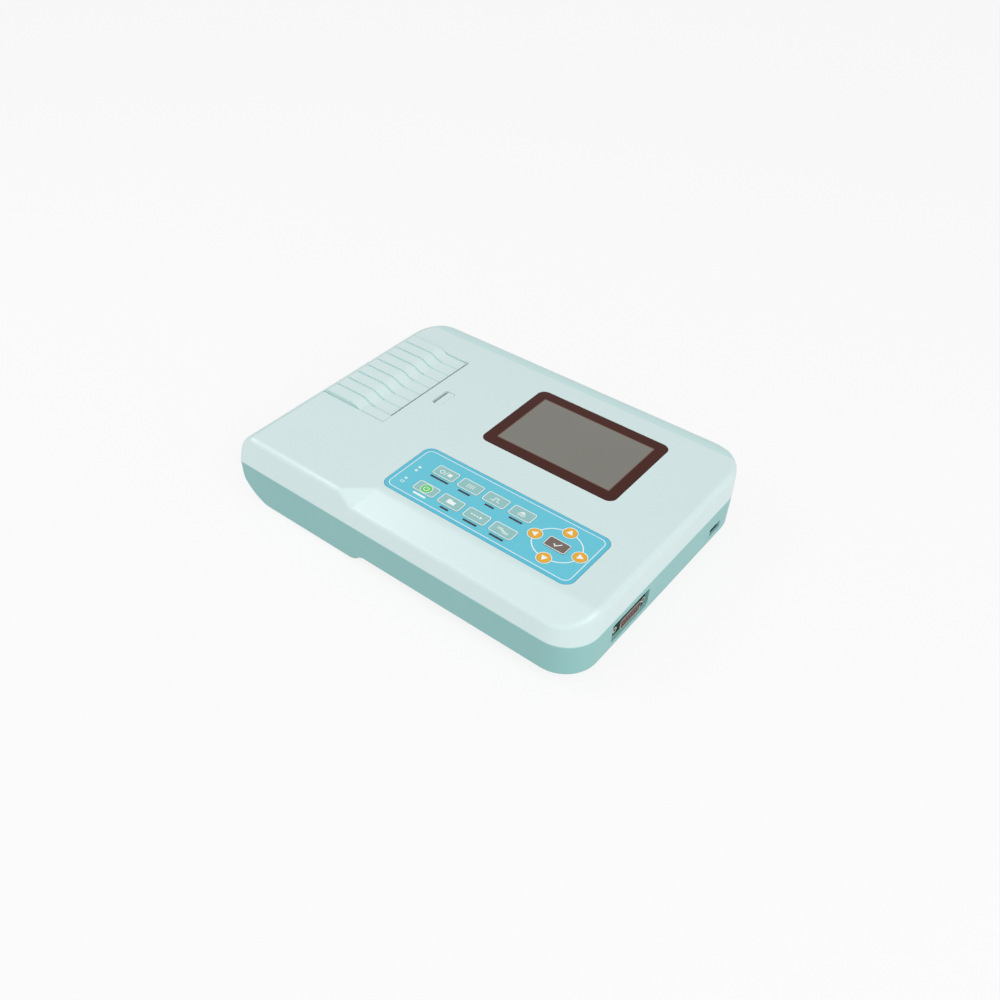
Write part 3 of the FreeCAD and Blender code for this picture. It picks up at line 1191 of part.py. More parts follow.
door_top = d.right_floor + d.door_thick
node("battery_door", cut("battery_door", block("door_sheet", door_left + d.door_gap, door_right - d.door_gap,
                                               door_front + d.door_gap, door_back - d.door_gap, d.right_floor,
                                               door_top), [
    rod("door_hole_%d" % index, "z", x, y, d.right_floor, d.screw_radius, d.door_thick)
    for index, (x, y) in enumerate(door_screws)]))
node("battery_door_screws", group("battery_door_screws", [
    fuse("door_screw_%d" % index, [
        rod("door_screw_shank_%d" % index, "z", x, y, d.right_floor, d.screw_radius,
            d.board_level - d.right_floor - d.screw_spare),
        rod("door_screw_head_%d" % index, "z", x, y, d.right_floor - d.screw_head_high / 2, d.screw_head,
            d.screw_head_high / 2)]) for index, (x, y) in enumerate(door_screws)]))
pack_inset = d.door_ledge + d.battery_gap
node("battery_pack", prism_z("battery_pack", [rounded(door_left + pack_inset, door_right - pack_inset,
                                                      door_front + pack_inset, door_back - pack_inset,
                                                      d.battery_round)], door_top, door_top + d.battery_high))

doc.recompute()
faulty = [item.Name for item in doc.Objects if "Invalid" in item.State or "Error" in item.State]
faulty += [name for name, item in nodes.items() if item.Shape.isNull() or not item.Shape.isValid()]
if faulty:
    raise RuntimeError("these objects did not build: " + ", ".join(faulty))
os.makedirs("parts", exist_ok=True)
for name, item in nodes.items():
    item.Shape.exportStep("parts/%s.step" % name)
print("%d sub-parts written" % len(nodes))
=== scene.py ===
# %% [markdown]
# # A portable ECG recorder
# The solids of this machine come from a CAD model and already stand in their right places.
# This lesson gives them their looks: moulded plastic, printed keypad, screen, paper, metal,
# then a camera and soft light. Lengths on the machine are written in millimetres and turned
# into metres by one factor, because Blender's own unit is the metre. Camera, lamps and floor
# come last, and the lamps and the floor are written in metres.

import json
import math

import bmesh
import bpy
from mathutils import Matrix, Vector


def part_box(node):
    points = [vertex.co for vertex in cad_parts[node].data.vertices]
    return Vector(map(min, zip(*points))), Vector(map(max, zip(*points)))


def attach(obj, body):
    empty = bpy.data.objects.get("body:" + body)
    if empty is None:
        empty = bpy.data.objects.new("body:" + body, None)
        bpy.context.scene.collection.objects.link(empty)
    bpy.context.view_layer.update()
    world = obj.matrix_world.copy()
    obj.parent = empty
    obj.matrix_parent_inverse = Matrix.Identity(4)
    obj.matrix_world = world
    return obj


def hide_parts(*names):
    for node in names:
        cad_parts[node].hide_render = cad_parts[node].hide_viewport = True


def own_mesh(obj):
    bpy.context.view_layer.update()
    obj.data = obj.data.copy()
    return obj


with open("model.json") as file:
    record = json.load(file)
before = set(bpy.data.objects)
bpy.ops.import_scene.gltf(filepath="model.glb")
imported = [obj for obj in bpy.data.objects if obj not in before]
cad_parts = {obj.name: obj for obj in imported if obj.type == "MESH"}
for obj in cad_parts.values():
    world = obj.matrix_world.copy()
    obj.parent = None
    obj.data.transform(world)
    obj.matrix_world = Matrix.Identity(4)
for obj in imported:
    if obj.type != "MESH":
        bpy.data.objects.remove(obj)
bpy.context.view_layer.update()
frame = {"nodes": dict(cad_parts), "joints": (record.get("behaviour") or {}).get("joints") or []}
nodes = frame["nodes"]
scene = bpy.context.scene
MM = 0.001

# %% [markdown]
# ## Reading the solids
# A print or a tone has to lie where its solid lies. Its place could be typed in, but then it
# would stay behind when the CAD model changes. So three small helpers read a solid's box in
# millimetres. A fourth puts a new object in the scene.

# %% Boxes and objects
X, Y, Z = range(3)


def span(node, axis):
    """Where a solid starts and ends along an axis, in millimetres."""
    return [corner[axis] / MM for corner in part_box(node)]


def middle(node, axis):
    """The middle of a solid along an axis, in millimetres."""
    return sum(span(node, axis)) / 2


def extent(node, axis):
    """The length of a solid along an axis, in millimetres."""
    low, high = span(node, axis)
    return high - low


def put_in_scene(name, data):
    """Makes an object from a mesh, a lamp or a camera and adds it to the scene."""
    thing = bpy.data.objects.new(name, data)
    scene.collection.objects.link(thing)
    return thing


print("upper casing mm:", [round(extent("upper_casing", axis), 1) for axis in (X, Y, Z)])

# %% [markdown]
# ## Sums with sockets
# A shader is a web of small nodes. Adding each Math node by hand hides the idea, so one small
# class wraps a socket and lets ordinary Python sums add the nodes. `1 - mask` then works as it
# reads, because the reflected forms are there too.


# %% The socket wrapper
class Wire:
    """A shader socket that takes part in Python sums."""

    def __init__(self, tree, socket):
        self.tree = tree
        self.socket = socket

    def combine(self, operation, *values):
        """Adds one Math node."""
        node = self.tree.nodes.new("ShaderNodeMath")
        node.operation = operation
        for slot, value in zip(node.inputs, values):
            connect(self.tree, value, slot)
        return Wire(self.tree, node.outputs[0])

    def __add__(self, other):
        return self.combine("ADD", self, other)

    def __radd__(self, other):
        return self.combine("ADD", other, self)

    def __sub__(self, other):
        return self.combine("SUBTRACT", self, other)

    def __rsub__(self, other):
        return self.combine("SUBTRACT", other, self)

    def __mul__(self, other):
        return self.combine("MULTIPLY", self, other)

    def __rmul__(self, other):
        return self.combine("MULTIPLY", other, self)

    def __mod__(self, other):
        return self.combine("FLOORED_MODULO", self, other)

    def __rmod__(self, other):
        return self.combine("FLOORED_MODULO", other, self)

    def __abs__(self):
        return self.combine("ABSOLUTE", self)

    def most(self, other):
        return self.combine("MAXIMUM", self, other)

    def least(self, other):
        return self.combine("MINIMUM", self, other)

    def root(self):
        return self.combine("SQRT", self)

    def turn(self, reach):
        """The angle of a point that lies this high and that far out."""
        return self.combine("ARCTAN2", self, reach)

    def beside(self, output):
        """Another output of the same node."""
        return Wire(self.tree, self.socket.node.outputs[output])


print("sums on wires:", ", ".join(name for name in vars(Wire) if not name.startswith("__")))


# %% Links and colours
def connect(tree, value, slot):
    """Links a wire to a socket, or sets the socket's own value."""
    if isinstance(value, Wire):
        tree.links.new(value.socket, slot)
    else:
        slot.default_value = value


def paint(red, green, blue):
    """A colour in screen values from 0 to 255, turned into linear light by the sRGB curve."""
    def linear(value):
        value = value / 255
        return value / 12.92 if value <= 0.04045 else ((value + 0.055) / 1.055) ** 2.4
    return (linear(red), linear(green), linear(blue), 1.0)


print("mid grey in linear light:", round(paint(128, 128, 128)[0], 3))

# %% [markdown]
# ## A finish
# Every node except a Math node comes from one method, which takes the node's type, its settings
# and the values of its sockets. A finish is a web of nodes that ends in one Principled shader.
# The solids sit at the origin, so object coordinates are the machine's own coordinates, and a
# mask can be drawn from a place in millimetres.


# %% A web of nodes
class Web:
    """The nodes of a shader, and the one way to add a node to them."""

    def __init__(self, tree):
        self.tree = tree

    def node(self, kind, settings=None, values=None, output=0):
        """Adds a node, makes its settings, then fills its sockets, and returns one output."""
        node = self.tree.nodes.new(kind)
        for name, setting in (settings or {}).items():
            setattr(node, name, setting)
        for name, value in (values or {}).items():
            connect(self.tree, value, node.inputs[name])
        return Wire(self.tree, node.outputs[output])


# A Mix node has its own sockets for each kind of data, and these are the ones for colours.
MIX_FACTOR, MIX_FIRST, MIX_SECOND, MIX_RESULT = 0, 6, 7, 2
print("colour sockets of a Mix node:", MIX_FIRST, "and", MIX_SECOND)


# %% The finish class
class Finish(Web):
    """One material: a Principled shader and what feeds it."""

    def __init__(self, name):
        self.material = bpy.data.materials.new(name)
        self.material.use_nodes = True
        super().__init__(self.material.node_tree)
        self.shader = self.tree.nodes["Principled BSDF"]

    def set(self, **values):
        """Feeds the Principled shader's sockets."""
        for name, value in values.items():
            connect(self.tree, value, self.shader.inputs[name.replace("_", " ")])
        return self

    def point(self):
        """The point on the surface, in metres."""
        return self.node("ShaderNodeTexCoord", output="Object")

    def along(self, axis):
        """The point's place along an axis, in millimetres."""
        place = self.node("ShaderNodeSeparateXYZ", values={"Vector": self.point()}, output=axis)
        return place * (1 / MM)

    def lean(self, axis):
        """How far the surface faces along an axis, from -1 to 1."""
        normal = self.node("ShaderNodeTexCoord", output="Normal")
        return self.node("ShaderNodeSeparateXYZ", values={"Vector": normal}, output=axis)

    def noise(self, cells, detail=2.0):
        """Soft noise from 0 to 1, with this many cells in a metre."""
        return self.node("ShaderNodeTexNoise",
                         values={"Vector": self.point(), "Scale": cells, "Detail": detail})

    def blend(self, factor, first, second):
        """A colour between two colours."""
        return self.node("ShaderNodeMix", {"data_type": "RGBA"},
                         {MIX_FACTOR: factor, MIX_FIRST: first, MIX_SECOND: second}, MIX_RESULT)

    def inside(self, gap, soft):
        """1 where a signed gap is below zero, 0 where it is above, with a soft edge."""
        return self.node("ShaderNodeMapRange", {"interpolation_type": "SMOOTHSTEP"},
                         {"Value": gap, "From Min": -soft, "From Max": soft,
                          "To Min": 1.0, "To Max": 0.0})

    def above(self, value, limit, soft):
        """1 where a value is above a limit, 0 where it is below, with a soft edge."""
        return self.inside(limit - value, soft)

    def bump(self, height, strength, depth):
        """Turns a height into a surface normal."""
        return self.set(Normal=self.node("ShaderNodeBump", values={
            "Height": height, "Strength": strength, "Distance": depth}))


print("a finish has:", ", ".join(name for name in vars(Finish) if not name.startswith("__")))

# %% [markdown]
# ## Moulded plastic
# The casing is injection moulded ABS with a fine spark-eroded grain. A flat colour would look
# like paper, so the colour drifts very slightly over the part, the roughness varies with it, and
# a fine noise lifts the surface by a few hundredths of a millimetre.


# %% Grained plastic
def wear(finish, names):
    """Gives a finish to CAD nodes."""
    for name in names:
        slots = nodes[name].data.materials
        slots.clear()
        slots.append(finish.material)
    print(finish.material.name, "on", ", ".join(names))


def swing(value, spread, noise):
    """A value that swings by a spread to each side as a noise goes from 0 to 1."""
    return value - spread + 2 * spread * noise


def moulded(name, colour, shade, roughness, mark=None, painted_tone=None):
    """Grained plastic whose colour drifts between two close tones; a mask paints light or shade in
    a third tone.
    """
    finish = Finish(name)
    drift = finish.noise(cells=14.0, detail=3.0)
    tone = finish.blend(drift, colour, shade)
    if mark:
        tone = finish.blend(mark(finish), tone, painted_tone)
    finish.set(Base_Color=tone, Roughness=swing(roughness, 0.05, drift),
               Specular_IOR_Level=0.45)
    return finish.bump(finish.noise(cells=2600.0), strength=0.12, depth=0.04 * MM)


TEAL, TEAL_SHADE = paint(141, 191, 189), paint(137, 188, 186)
wear(moulded("door_plastic", TEAL, TEAL_SHADE, 0.45), ["battery_door"])

# %% [markdown]
# ## Painted light and shade on the mouldings
# Three places on the casing get painted light or shade: a painted highlight on the tub just under
# the seam, painted shade along the lines between the cover's ribs, and painted shade on the bevel
# along the back and on edges that lean to the far left. Each is a mask in the material, worked out
# from where the point lies and which way the surface faces there.

# %% Painted seam highlight, groove shade and back shade
# The band of painted highlight under the seam, in millimetres.
SEAM_HIGHLIGHT_HEIGHT = 0.8
SEAM_HIGHLIGHT_MIDDLE = span("upper_casing", Z)[0] - SEAM_HIGHLIGHT_HEIGHT / 2
RIB_COUNT = 9
COVER_FRONT, COVER_BACK = span("paper_cover", Y)
RIB_PITCH = (COVER_BACK - COVER_FRONT) / RIB_COUNT
# Half width, soft edge and strength of the painted shade along the rib lines.
GROOVE_SHADE_HALF = 0.7
GROOVE_SHADE_SOFT = 0.6
GROOVE_SHADE_STRENGTH = 0.8
# The grooves lie above this level, and the sides of the cover's arms below it.
GROOVE_BOTTOM = 54.5
# The band of painted shade along the back edge takes in the bevel and a little of the flat before
# it.
BACK_SHADE_WIDTH = 13.2
BACK_SHADE_START = span("upper_casing", Y)[1] - BACK_SHADE_WIDTH
# A direction in x and y, away from the camera; surfaces that lean this way get painted shade.
TO_FAR_LEFT = (-0.6, 0.8)


def painted_seam_highlight(finish):
    """Painted highlight: 1 on a thin band of the tub just below the seam, given a paler tone."""
    return finish.inside(abs(finish.along(Z) - SEAM_HIGHLIGHT_MIDDLE) - SEAM_HIGHLIGHT_HEIGHT / 2, soft=0.15)


def painted_groove_shade(finish):
    """Painted shade, strong on the lines between the cover's ribs where they face up when it is
    shut, and on groove walls.
    """
    gap = abs((finish.along(Y) - COVER_FRONT + RIB_PITCH / 2) % RIB_PITCH - RIB_PITCH / 2)
    facing_up = finish.above(finish.lean(Z), limit=0.2, soft=0.1)
    facing_sideways = finish.above(abs(finish.lean(Y)), limit=0.5, soft=0.1)
    groove_shade = finish.inside(gap - GROOVE_SHADE_HALF, GROOVE_SHADE_SOFT) * facing_up
    # Walls that face along y, the groove walls and the cover's end faces, get the painted shade
    # too.
    wall = facing_sideways * finish.above(finish.along(Z), GROOVE_BOTTOM, soft=0.3)
    return GROOVE_SHADE_STRENGTH * groove_shade.most(wall)


def painted_far_shade(finish):
    """Painted shade: 1 on a band along the back edge over the bevel, and on other edges that lean
    to the far left.
    """
    slope = TO_FAR_LEFT[Y] * finish.lean(Y) + TO_FAR_LEFT[X] * finish.lean(X)
    leaning = finish.above(slope, limit=0.06, soft=0.04)
    at_back = finish.above(finish.along(Y), BACK_SHADE_START, soft=1.0)
    facing_up = finish.above(finish.lean(Z), limit=0.6, soft=0.15)
    return at_back.most(leaning) * facing_up


print("rib pitch mm:", round(RIB_PITCH, 2))

# %% Casing, tub, cover and latch
MINT, MINT_SHADE = paint(210, 228, 228), paint(206, 226, 225)
# The casing's third tone is painted shade on the back bevel and on edges that lean to the far left.
mint_plastic = moulded("mint_plastic", MINT, MINT_SHADE, 0.3, painted_far_shade, paint(192, 221, 220))
wear(mint_plastic, ["upper_casing", "latch_slider"])
# The cover's third tone is painted shade along the rib lines and on groove walls.
wear(moulded("ribbed_mint", MINT, MINT_SHADE, 0.3, painted_groove_shade, paint(180, 214, 213)),
     ["paper_cover"])
# The tub's third tone is a painted highlight along the seam.
wear(moulded("teal_plastic", TEAL, TEAL_SHADE, 0.45, painted_seam_highlight, paint(160, 208, 206)),
     ["lower_casing"])

# %% [markdown]
# ## End walls under the cover
# The paper cover is a curved shell that stands a little above the casing. On the real lid a low
# wall under each end closes the view into the paper bay. A plain box would stick out of the
# cover's slope, so each wall is a flat outline that follows the curve, drawn in x and z and given
# a thickness along y. It rides on the cover.


# %% Cover end walls
def wall_along_y(name, outline, front, back):
    """A solid with a flat outline in x and z, between two places along y, all in millimetres."""
    build = bmesh.new()
    rings = [[build.verts.new((x * MM, y * MM, z * MM)) for x, z in outline]
             for y in (front, back)]
    build.faces.new(rings[0])
    build.faces.new(rings[1])
    for index in range(len(outline)):
        build.faces.new((rings[0][index - 1], rings[0][index],
                         rings[1][index], rings[1][index - 1]))
    bmesh.ops.recalc_face_normals(build, faces=build.faces)
    mesh = bpy.data.meshes.new(name)
    build.to_mesh(mesh)
    build.free()
    mesh.materials.append(mint_plastic.material)
    return put_in_scene(name, mesh)


CROWN_LEVEL = span("paper_cover", Z)[1]
HINGE_X = middle("cover_hinge_pin", X)
WALL_THICK = 1.6
WALL_INSET = 0.05
# Each corner of the wall: how far from the hinge's axis, and how far below the cover's crown.
END_PROFILE = [(1, 5), (32, 5), (30.6, 4.2), (29.7, 3.6), (27, 2.3), (23, 1.6), (1, 1.6)]
END_OUTLINE = [(HINGE_X + reach, CROWN_LEVEL - drop) for reach, drop in END_PROFILE]
for name, outer, inward in (("front_end_wall", COVER_FRONT, 1), ("back_end_wall", COVER_BACK, -1)):
    wall = wall_along_y(name, END_OUTLINE, outer + inward * WALL_INSET,
                        outer + inward * (WALL_INSET + WALL_THICK))
    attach(wall, "cover")
    print(name, "with", len(wall.data.polygons), "faces")

# %% [markdown]
# ## Black plastic, rubber and steel
# The sockets, the switch and the printer's carrier are plain engineering plastic, the feet and
# the platen are rubber, and pins and screws are bright steel with fine turning marks. Pictures
# could be wrapped round them, but a noise needs no file, and one that is stretched along an axis
# looks like the marks of a tool.


# %% Matt finishes
def dull(name, colour, shade, roughness, cells):
    """A matt material with a mottle of this many cells in a metre."""
    finish = Finish(name)
    mottle = finish.noise(cells, detail=4.0)
    finish.set(Base_Color=finish.blend(mottle, colour, shade),
               Roughness=swing(roughness, 0.08, mottle))
    return finish.bump(mottle, strength=0.15, depth=0.05 * MM)


wear(dull("black_plastic", paint(46, 44, 44), paint(38, 37, 38), 0.5, 1500.0),
     ["mains_inlet", "rocker_frame", "rocker_paddle", "usb_tongue", "board_parts", "power_parts"])
wear(dull("carrier_plastic", paint(62, 64, 66), paint(54, 56, 58), 0.55, 900.0),
     ["printer_chassis", "paper_spindle"])
wear(dull("foot_rubber", paint(70, 72, 73), paint(60, 62, 63), 0.75, 2000.0),
     ["rubber_feet", "platen_roller"])
wear(dull("gear_plastic", paint(226, 224, 214), paint(216, 214, 203), 0.4, 700.0),
     ["platen_gear", "idler_gear"])
wear(dull("battery_wrap", paint(52, 92, 156), paint(46, 84, 146), 0.35, 120.0), ["battery_pack"])
wear(dull("card_tube", paint(186, 160, 128), paint(174, 148, 116), 0.85, 700.0), ["paper_core"])
wear(dull("connector_plastic", paint(92, 58, 52), paint(80, 50, 46), 0.5, 1500.0),
     ["ecg_connector_insert"])

# %% Metals
ALONG_MARKS = (1.0, 24.0, 1.0)


def turned(name, colour, shade, roughness):
    """Metal with fine marks, as a lathe or a brush leaves."""
    finish = Finish(name)
    stretched = finish.node("ShaderNodeMapping",
                            values={"Vector": finish.point(), "Scale": ALONG_MARKS})
    marks = finish.node("ShaderNodeTexNoise",
                        values={"Vector": stretched, "Scale": 260.0, "Detail": 3.0})
    return finish.set(Base_Color=finish.blend(marks, colour, shade),
                      Roughness=swing(roughness, 0.08, marks), Metallic=1.0)


wear(turned("bright_steel", paint(205, 206, 208), paint(186, 188, 190), 0.3),
     ["casing_screws", "board_screws", "battery_door_screws", "cover_hinge_pin", "platen_shaft",
      "idler_post", "motor_pinion", "latch_spring", "inlet_blades", "feed_motor",
      "print_head_plate"])
wear(turned("plated_steel", paint(214, 210, 200), paint(198, 194, 184), 0.25),
     ["ecg_connector_shell", "ecg_jackscrews", "usb_shell", "earth_stud"])
wear(turned("bearing_brass", paint(214, 178, 108), paint(196, 160, 92), 0.3), ["platen_bushes"])

# %% [markdown]
# ## The latch's leaf spring
# Under the latch lies a thin steel leaf, bowed towards it. When the latch slides, the bow is
# pressed flatter, which a stiff solid can't show. A copy of the leaf takes its place.

# %% Leaf spring
latch_joint = next(joint for joint in frame["joints"] if joint["name"] == "latch_slide")
LATCH_TRAVEL = latch_joint["range_m"][1] / MM
# The share of the bow that is pressed in beyond the latch's travel, to stay clear of it.
LEAF_SPARE = 0.005
leaf_low, leaf_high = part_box("latch_spring")
bow = (leaf_high[X] - leaf_low[X]) / MM
leaf = put_in_scene("latch_leaf", nodes["latch_spring"].data.copy())
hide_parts("latch_spring")
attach(leaf, "casing")
(bow - LATCH_TRAVEL) / bow - LEAF_SPARE
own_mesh(leaf)
print("leaf bow mm:", round(bow, 2))

# %% [markdown]
# ## Circuit boards and print head
# Boards hide inside the tub, but they still get a solder mask with tracks.
# Real tracks could be modelled one by one; for what lies hidden, even stripes that wander with a
# noise are enough. The head's heating line is a glossy dark glaze at the height of the platen's
# axis, where the paper is pressed against it.

# %% Boards
TRACK_PITCH = 3.0
TRACK_HALF = 0.35
TRACK_WANDER = 30.0
board = Finish("solder_mask")
wandering = board.along(X) + TRACK_WANDER * board.noise(cells=18.0)
track = board.inside(abs(wandering % TRACK_PITCH - TRACK_PITCH / 2) - TRACK_HALF, soft=0.12)
board.set(Base_Color=board.blend(track, paint(22, 92, 52), paint(38, 120, 68)),
          Roughness=0.45 - 0.12 * track)
wear(board, ["main_board", "power_board"])

# %% Head glaze
HEAT_LINE_HALF = 0.5
glaze = Finish("head_glaze")
off_line = abs(glaze.along(Z) - middle("platen_roller", Z))
heat_line = glaze.inside(off_line - HEAT_LINE_HALF, soft=0.2)
glaze.set(Base_Color=glaze.blend(heat_line, paint(214, 206, 190), paint(60, 46, 40)),
          Roughness=0.3 - 0.15 * heat_line)
wear(glaze, ["print_head_strip"])

# %% [markdown]
# ## Chart paper
# ECG paper is printed with a pale red grid, a fine line each millimetre and a stronger one each
# five. A picture of it would blur close up, so the lines are sums. On the roll the grid runs round
# the curve: the position around the axis, as an arc length, takes the place of a flat coordinate.
# The roll's ends show the wound layers.

# %% Paper roll
ROLL_RADIUS = extent("paper_roll", X) / 2
SKIN = 0.15
LAYER_PITCH = 0.8
LAYER_HALF = 0.14
LAYER_STRENGTH = 0.5
FINE_STRENGTH, BOLD_STRENGTH = 0.35, 0.75
paper = Finish("chart_paper")
out_x = paper.along(X) - middle("paper_roll", X)
out_z = paper.along(Z) - middle("paper_roll", Z)
radius = (out_x * out_x + out_z * out_z).root()
arc_length = out_z.turn(out_x) * ROLL_RADIUS
across = paper.along(Y)


def ruled(pitch, half_width):
    """1 on the lines of a square grid with this pitch."""
    around_gap, across_gap = [abs(value % pitch - pitch / 2) for value in (arc_length, across)]
    return paper.above(around_gap.most(across_gap), pitch / 2 - half_width, soft=0.04)


on_end = paper.inside(radius - (ROLL_RADIUS - SKIN), soft=0.02)
fine_grid = ruled(pitch=1.0, half_width=0.06)
bold_grid = ruled(pitch=5.0, half_width=0.12)
grid = (FINE_STRENGTH * fine_grid).most(BOLD_STRENGTH * bold_grid) * (1 - on_end)
layers = paper.inside(abs(radius % LAYER_PITCH - LAYER_PITCH / 2) - LAYER_HALF, soft=0.1) * on_end
sheet = paper.blend(grid, paint(248, 240, 234), paint(226, 130, 116))
paper.set(Base_Color=paper.blend(LAYER_STRENGTH * layers, sheet, paint(206, 194, 182)),
          Roughness=swing(0.75, 0.05, paper.noise(cells=400.0)))
wear(paper, ["paper_roll"])
print("roll radius mm:", round(ROLL_RADIUS, 2))

# %% [markdown]
# ## Screen
# One clear window covers the display. Its rim is printed dark brown from behind and the middle
# is left open to the grey, unlit display. The print could be a thin frame of its own, but ink
# behind a window has no thickness that shows. So it is a mask: the signed distance to a
# rectangle, negative inside.


# %% Window print
def rectangle_gap(finish, centre, size, corner):
    """Signed distance in millimetres to a rectangle with rounded corners, seen from above."""
    across, along = [abs(finish.along(axis) - centre[axis]) - (size[axis] / 2 - corner)
                     for axis in (X, Y)]
    past_x, past_y = across.most(0), along.most(0)
    return (past_x * past_x + past_y * past_y).root() + across.most(along).least(0) - corner


SCREEN_SHIFT = 0.3
SCREEN_CENTRE = (middle("screen_window", X), middle("screen_window", Y) + SCREEN_SHIFT)
SCREEN_SIZE = (92.3, 58.0)
SCREEN_CORNER = 0.3
EDGE_HALF = 0.5
EDGE_STRENGTH = 0.45
window = Finish("screen_print")
from_edge = rectangle_gap(window, SCREEN_CENTRE, SCREEN_SIZE, SCREEN_CORNER)
view = window.inside(from_edge, soft=0.15)
edge = window.inside(abs(from_edge) - EDGE_HALF, soft=0.2)
sheen = window.noise(cells=9.0, detail=1.0)
rim = window.blend(sheen, paint(63, 29, 22), paint(70, 33, 26))
glass = window.blend(sheen, paint(124, 122, 115), paint(130, 129, 122))
printed = window.blend(view, rim, glass)
window.set(Base_Color=window.blend(EDGE_STRENGTH * edge, printed, paint(112, 68, 63)),
           Roughness=0.32 - 0.06 * view, Specular_IOR_Level=0.1)
wear(window, ["screen_window"])
print("screen opening mm:", SCREEN_SIZE)

# %% Display behind the window
lcd = Finish("display_back")
lcd.set(Base_Color=lcd.blend(lcd.noise(cells=3000.0), paint(96, 96, 92), paint(104, 104, 98)),
        Roughness=0.5)
wear(lcd, ["lcd_module"])

# %% [markdown]
# ## Keypad
# The keypad is a printed polyester sheet. Its field is cyan with a deeper border outside a white
# inline. The keys are separate caps in a grey green, four round ones in orange and one dark.
# The large areas are masks in the material; the fine lines come later as printed shapes.

# %% Film
PAD_CENTRE = [middle("keypad_overlay", axis) for axis in (X, Y)]
PAD_SIZE = [extent("keypad_overlay", axis) for axis in (X, Y)]
INLINE_INSET = 3.0
INLINE_SIZE = [size - 2 * INLINE_INSET for size in PAD_SIZE]
INLINE_CORNER = 4.6


def within_inline(finish):
    """1 on the field within the white inline, 0 on the border outside it."""
    return finish.inside(rectangle_gap(finish, PAD_CENTRE, INLINE_SIZE, INLINE_CORNER), soft=0.15)


def polyester(name, colour, shade, area=None):
    """Hard coated film with an even sheen. Its two tones drift, or an area takes the second."""
    finish = Finish(name)
    drift = finish.noise(cells=60.0)
    tone = finish.blend(area(finish) if area else drift, colour, shade)
    finish.set(Base_Color=tone, Roughness=swing(0.4, 0.04, drift), Specular_IOR_Level=0.3)
    return finish.bump(finish.noise(cells=3200.0), strength=0.08, depth=0.03 * MM)


wear(polyester("keypad_film", paint(91, 188, 213), paint(101, 195, 214), within_inline),
     ["keypad_overlay"])
wear(polyester("membrane_film", paint(206, 200, 178), paint(196, 190, 168)),
     ["keypad_circuit", "keypad_spacer"])
print("keypad mm:", [round(size, 1) for size in PAD_SIZE])

# %% Caps and lamps
BAR_KEYS = ["start_key", "menu_key", "calibrate_key", "report_key",
            "power_key", "file_key", "speed_key", "filter_key"]
# Each round key has an arrow, turned by this many degrees from pointing right.
ROUND_KEYS = {"left_key": 180, "right_key": 0, "up_key": 90, "down_key": -90}
wear(polyester("grey_green_cap", paint(147, 195, 193), paint(143, 190, 189)), BAR_KEYS)
wear(polyester("orange_cap", paint(232, 172, 52), paint(228, 166, 46)), list(ROUND_KEYS))
wear(polyester("dark_cap", paint(118, 102, 95), paint(110, 95, 88)), ["enter_key"])

lens = Finish("lamp_lens")
lens.set(Base_Color=lens.blend(lens.noise(cells=500.0), paint(226, 240, 240), paint(214, 232, 232)),
         Roughness=0.25)
wear(lens, ["indicator_lenses"])

# %% [markdown]
# ## Ink
# Lines, frames and pictograms are printed. A printed mark is a thin flat shape a few hundredths
# of a millimetre above what it is printed on, which keeps its edge sharp at any distance. Each
# mark is drawn from strokes (a path with a width) and patches (a filled outline), as points in
# millimetres about the mark's own centre.

# %% Strokes
MITRE_LIMIT = 0.4


def stroke(points, width, closed=False):
    """Quads that follow a path with the given width."""
    count = len(points)
    path = [Vector(point) for point in points]
    sides = []
    for index, point in enumerate(path):
        before = path[index - 1] if index > 0 or closed else point
        after = path[(index + 1) % count] if index < count - 1 or closed else point
        inward = (point - before).normalized() if before != point else (after - point).normalized()
        outward = (after - point).normalized() if after != point else inward
        bisector = (inward + outward).normalized()
        normal = Vector((-bisector.y, bisector.x))
        mitre = max(normal.dot(Vector((-outward.y, outward.x))), MITRE_LIMIT)
        reach = width / 2 / mitre
        sides.append((point + normal * reach, point - normal * reach))
    ends = sides[1:] + sides[:1] if closed else sides[1:]
    return [[start[0], start[1], end[1], end[0]] for start, end in zip(sides, ends)]


print("faces of a three-point stroke:", len(stroke([(0, 0), (1, 0), (1, 1)], 0.1)))

# %% Outlines
ORIGIN = (0, 0)
CIRCLE_POINTS = 24
CORNER_STEPS = 6


def arc(centre, radius, first, last, steps=24):
    """Points on an arc, angles in degrees; radius is one number or an (x, y) pair."""
    reach = radius if isinstance(radius, tuple) else (radius, radius)
    turns = [math.radians(first + (last - first) * step / steps) for step in range(steps + 1)]
    return [(centre[X] + reach[X] * math.cos(turn), centre[Y] + reach[Y] * math.sin(turn))
            for turn in turns]


def circle(radius):
    """A closed circle about the origin."""
    return arc(ORIGIN, radius, 0, 360 - 360 / CIRCLE_POINTS, CIRCLE_POINTS - 1)


def frame_path(size, corner):
    """A rounded rectangle about the origin."""
    points = []
    for quarter, (sign_x, sign_y) in enumerate(((1, 1), (-1, 1), (-1, -1), (1, -1))):
        centre = (sign_x * (size[X] / 2 - corner), sign_y * (size[Y] / 2 - corner))
        points += arc(centre, corner, 90 * quarter, 90 * quarter + 90, CORNER_STEPS)
    return points


def patch(left, low, right, high):
    """A filled rectangle."""
    return [(left, low), (right, low), (right, high), (left, high)]


print("points of a circle:", len(circle(1.0)))


# %% Inks
def ink(name, colour, shade):
    """Printing ink: a thin even coat."""
    finish = Finish(name)
    coat = finish.noise(cells=900.0)
    return finish.set(Base_Color=finish.blend(coat, colour, shade),
                      Roughness=swing(0.5, 0.05, coat))


WHITE_INK = ink("white_ink", paint(240, 248, 248), paint(232, 243, 243))
DARK_INK = ink("dark_ink", paint(40, 34, 44), paint(48, 42, 50))
GREEN_INK = ink("green_ink", paint(92, 200, 98), paint(84, 192, 92))
INK_LIFT = 0.03
print("ink tier mm:", INK_LIFT)


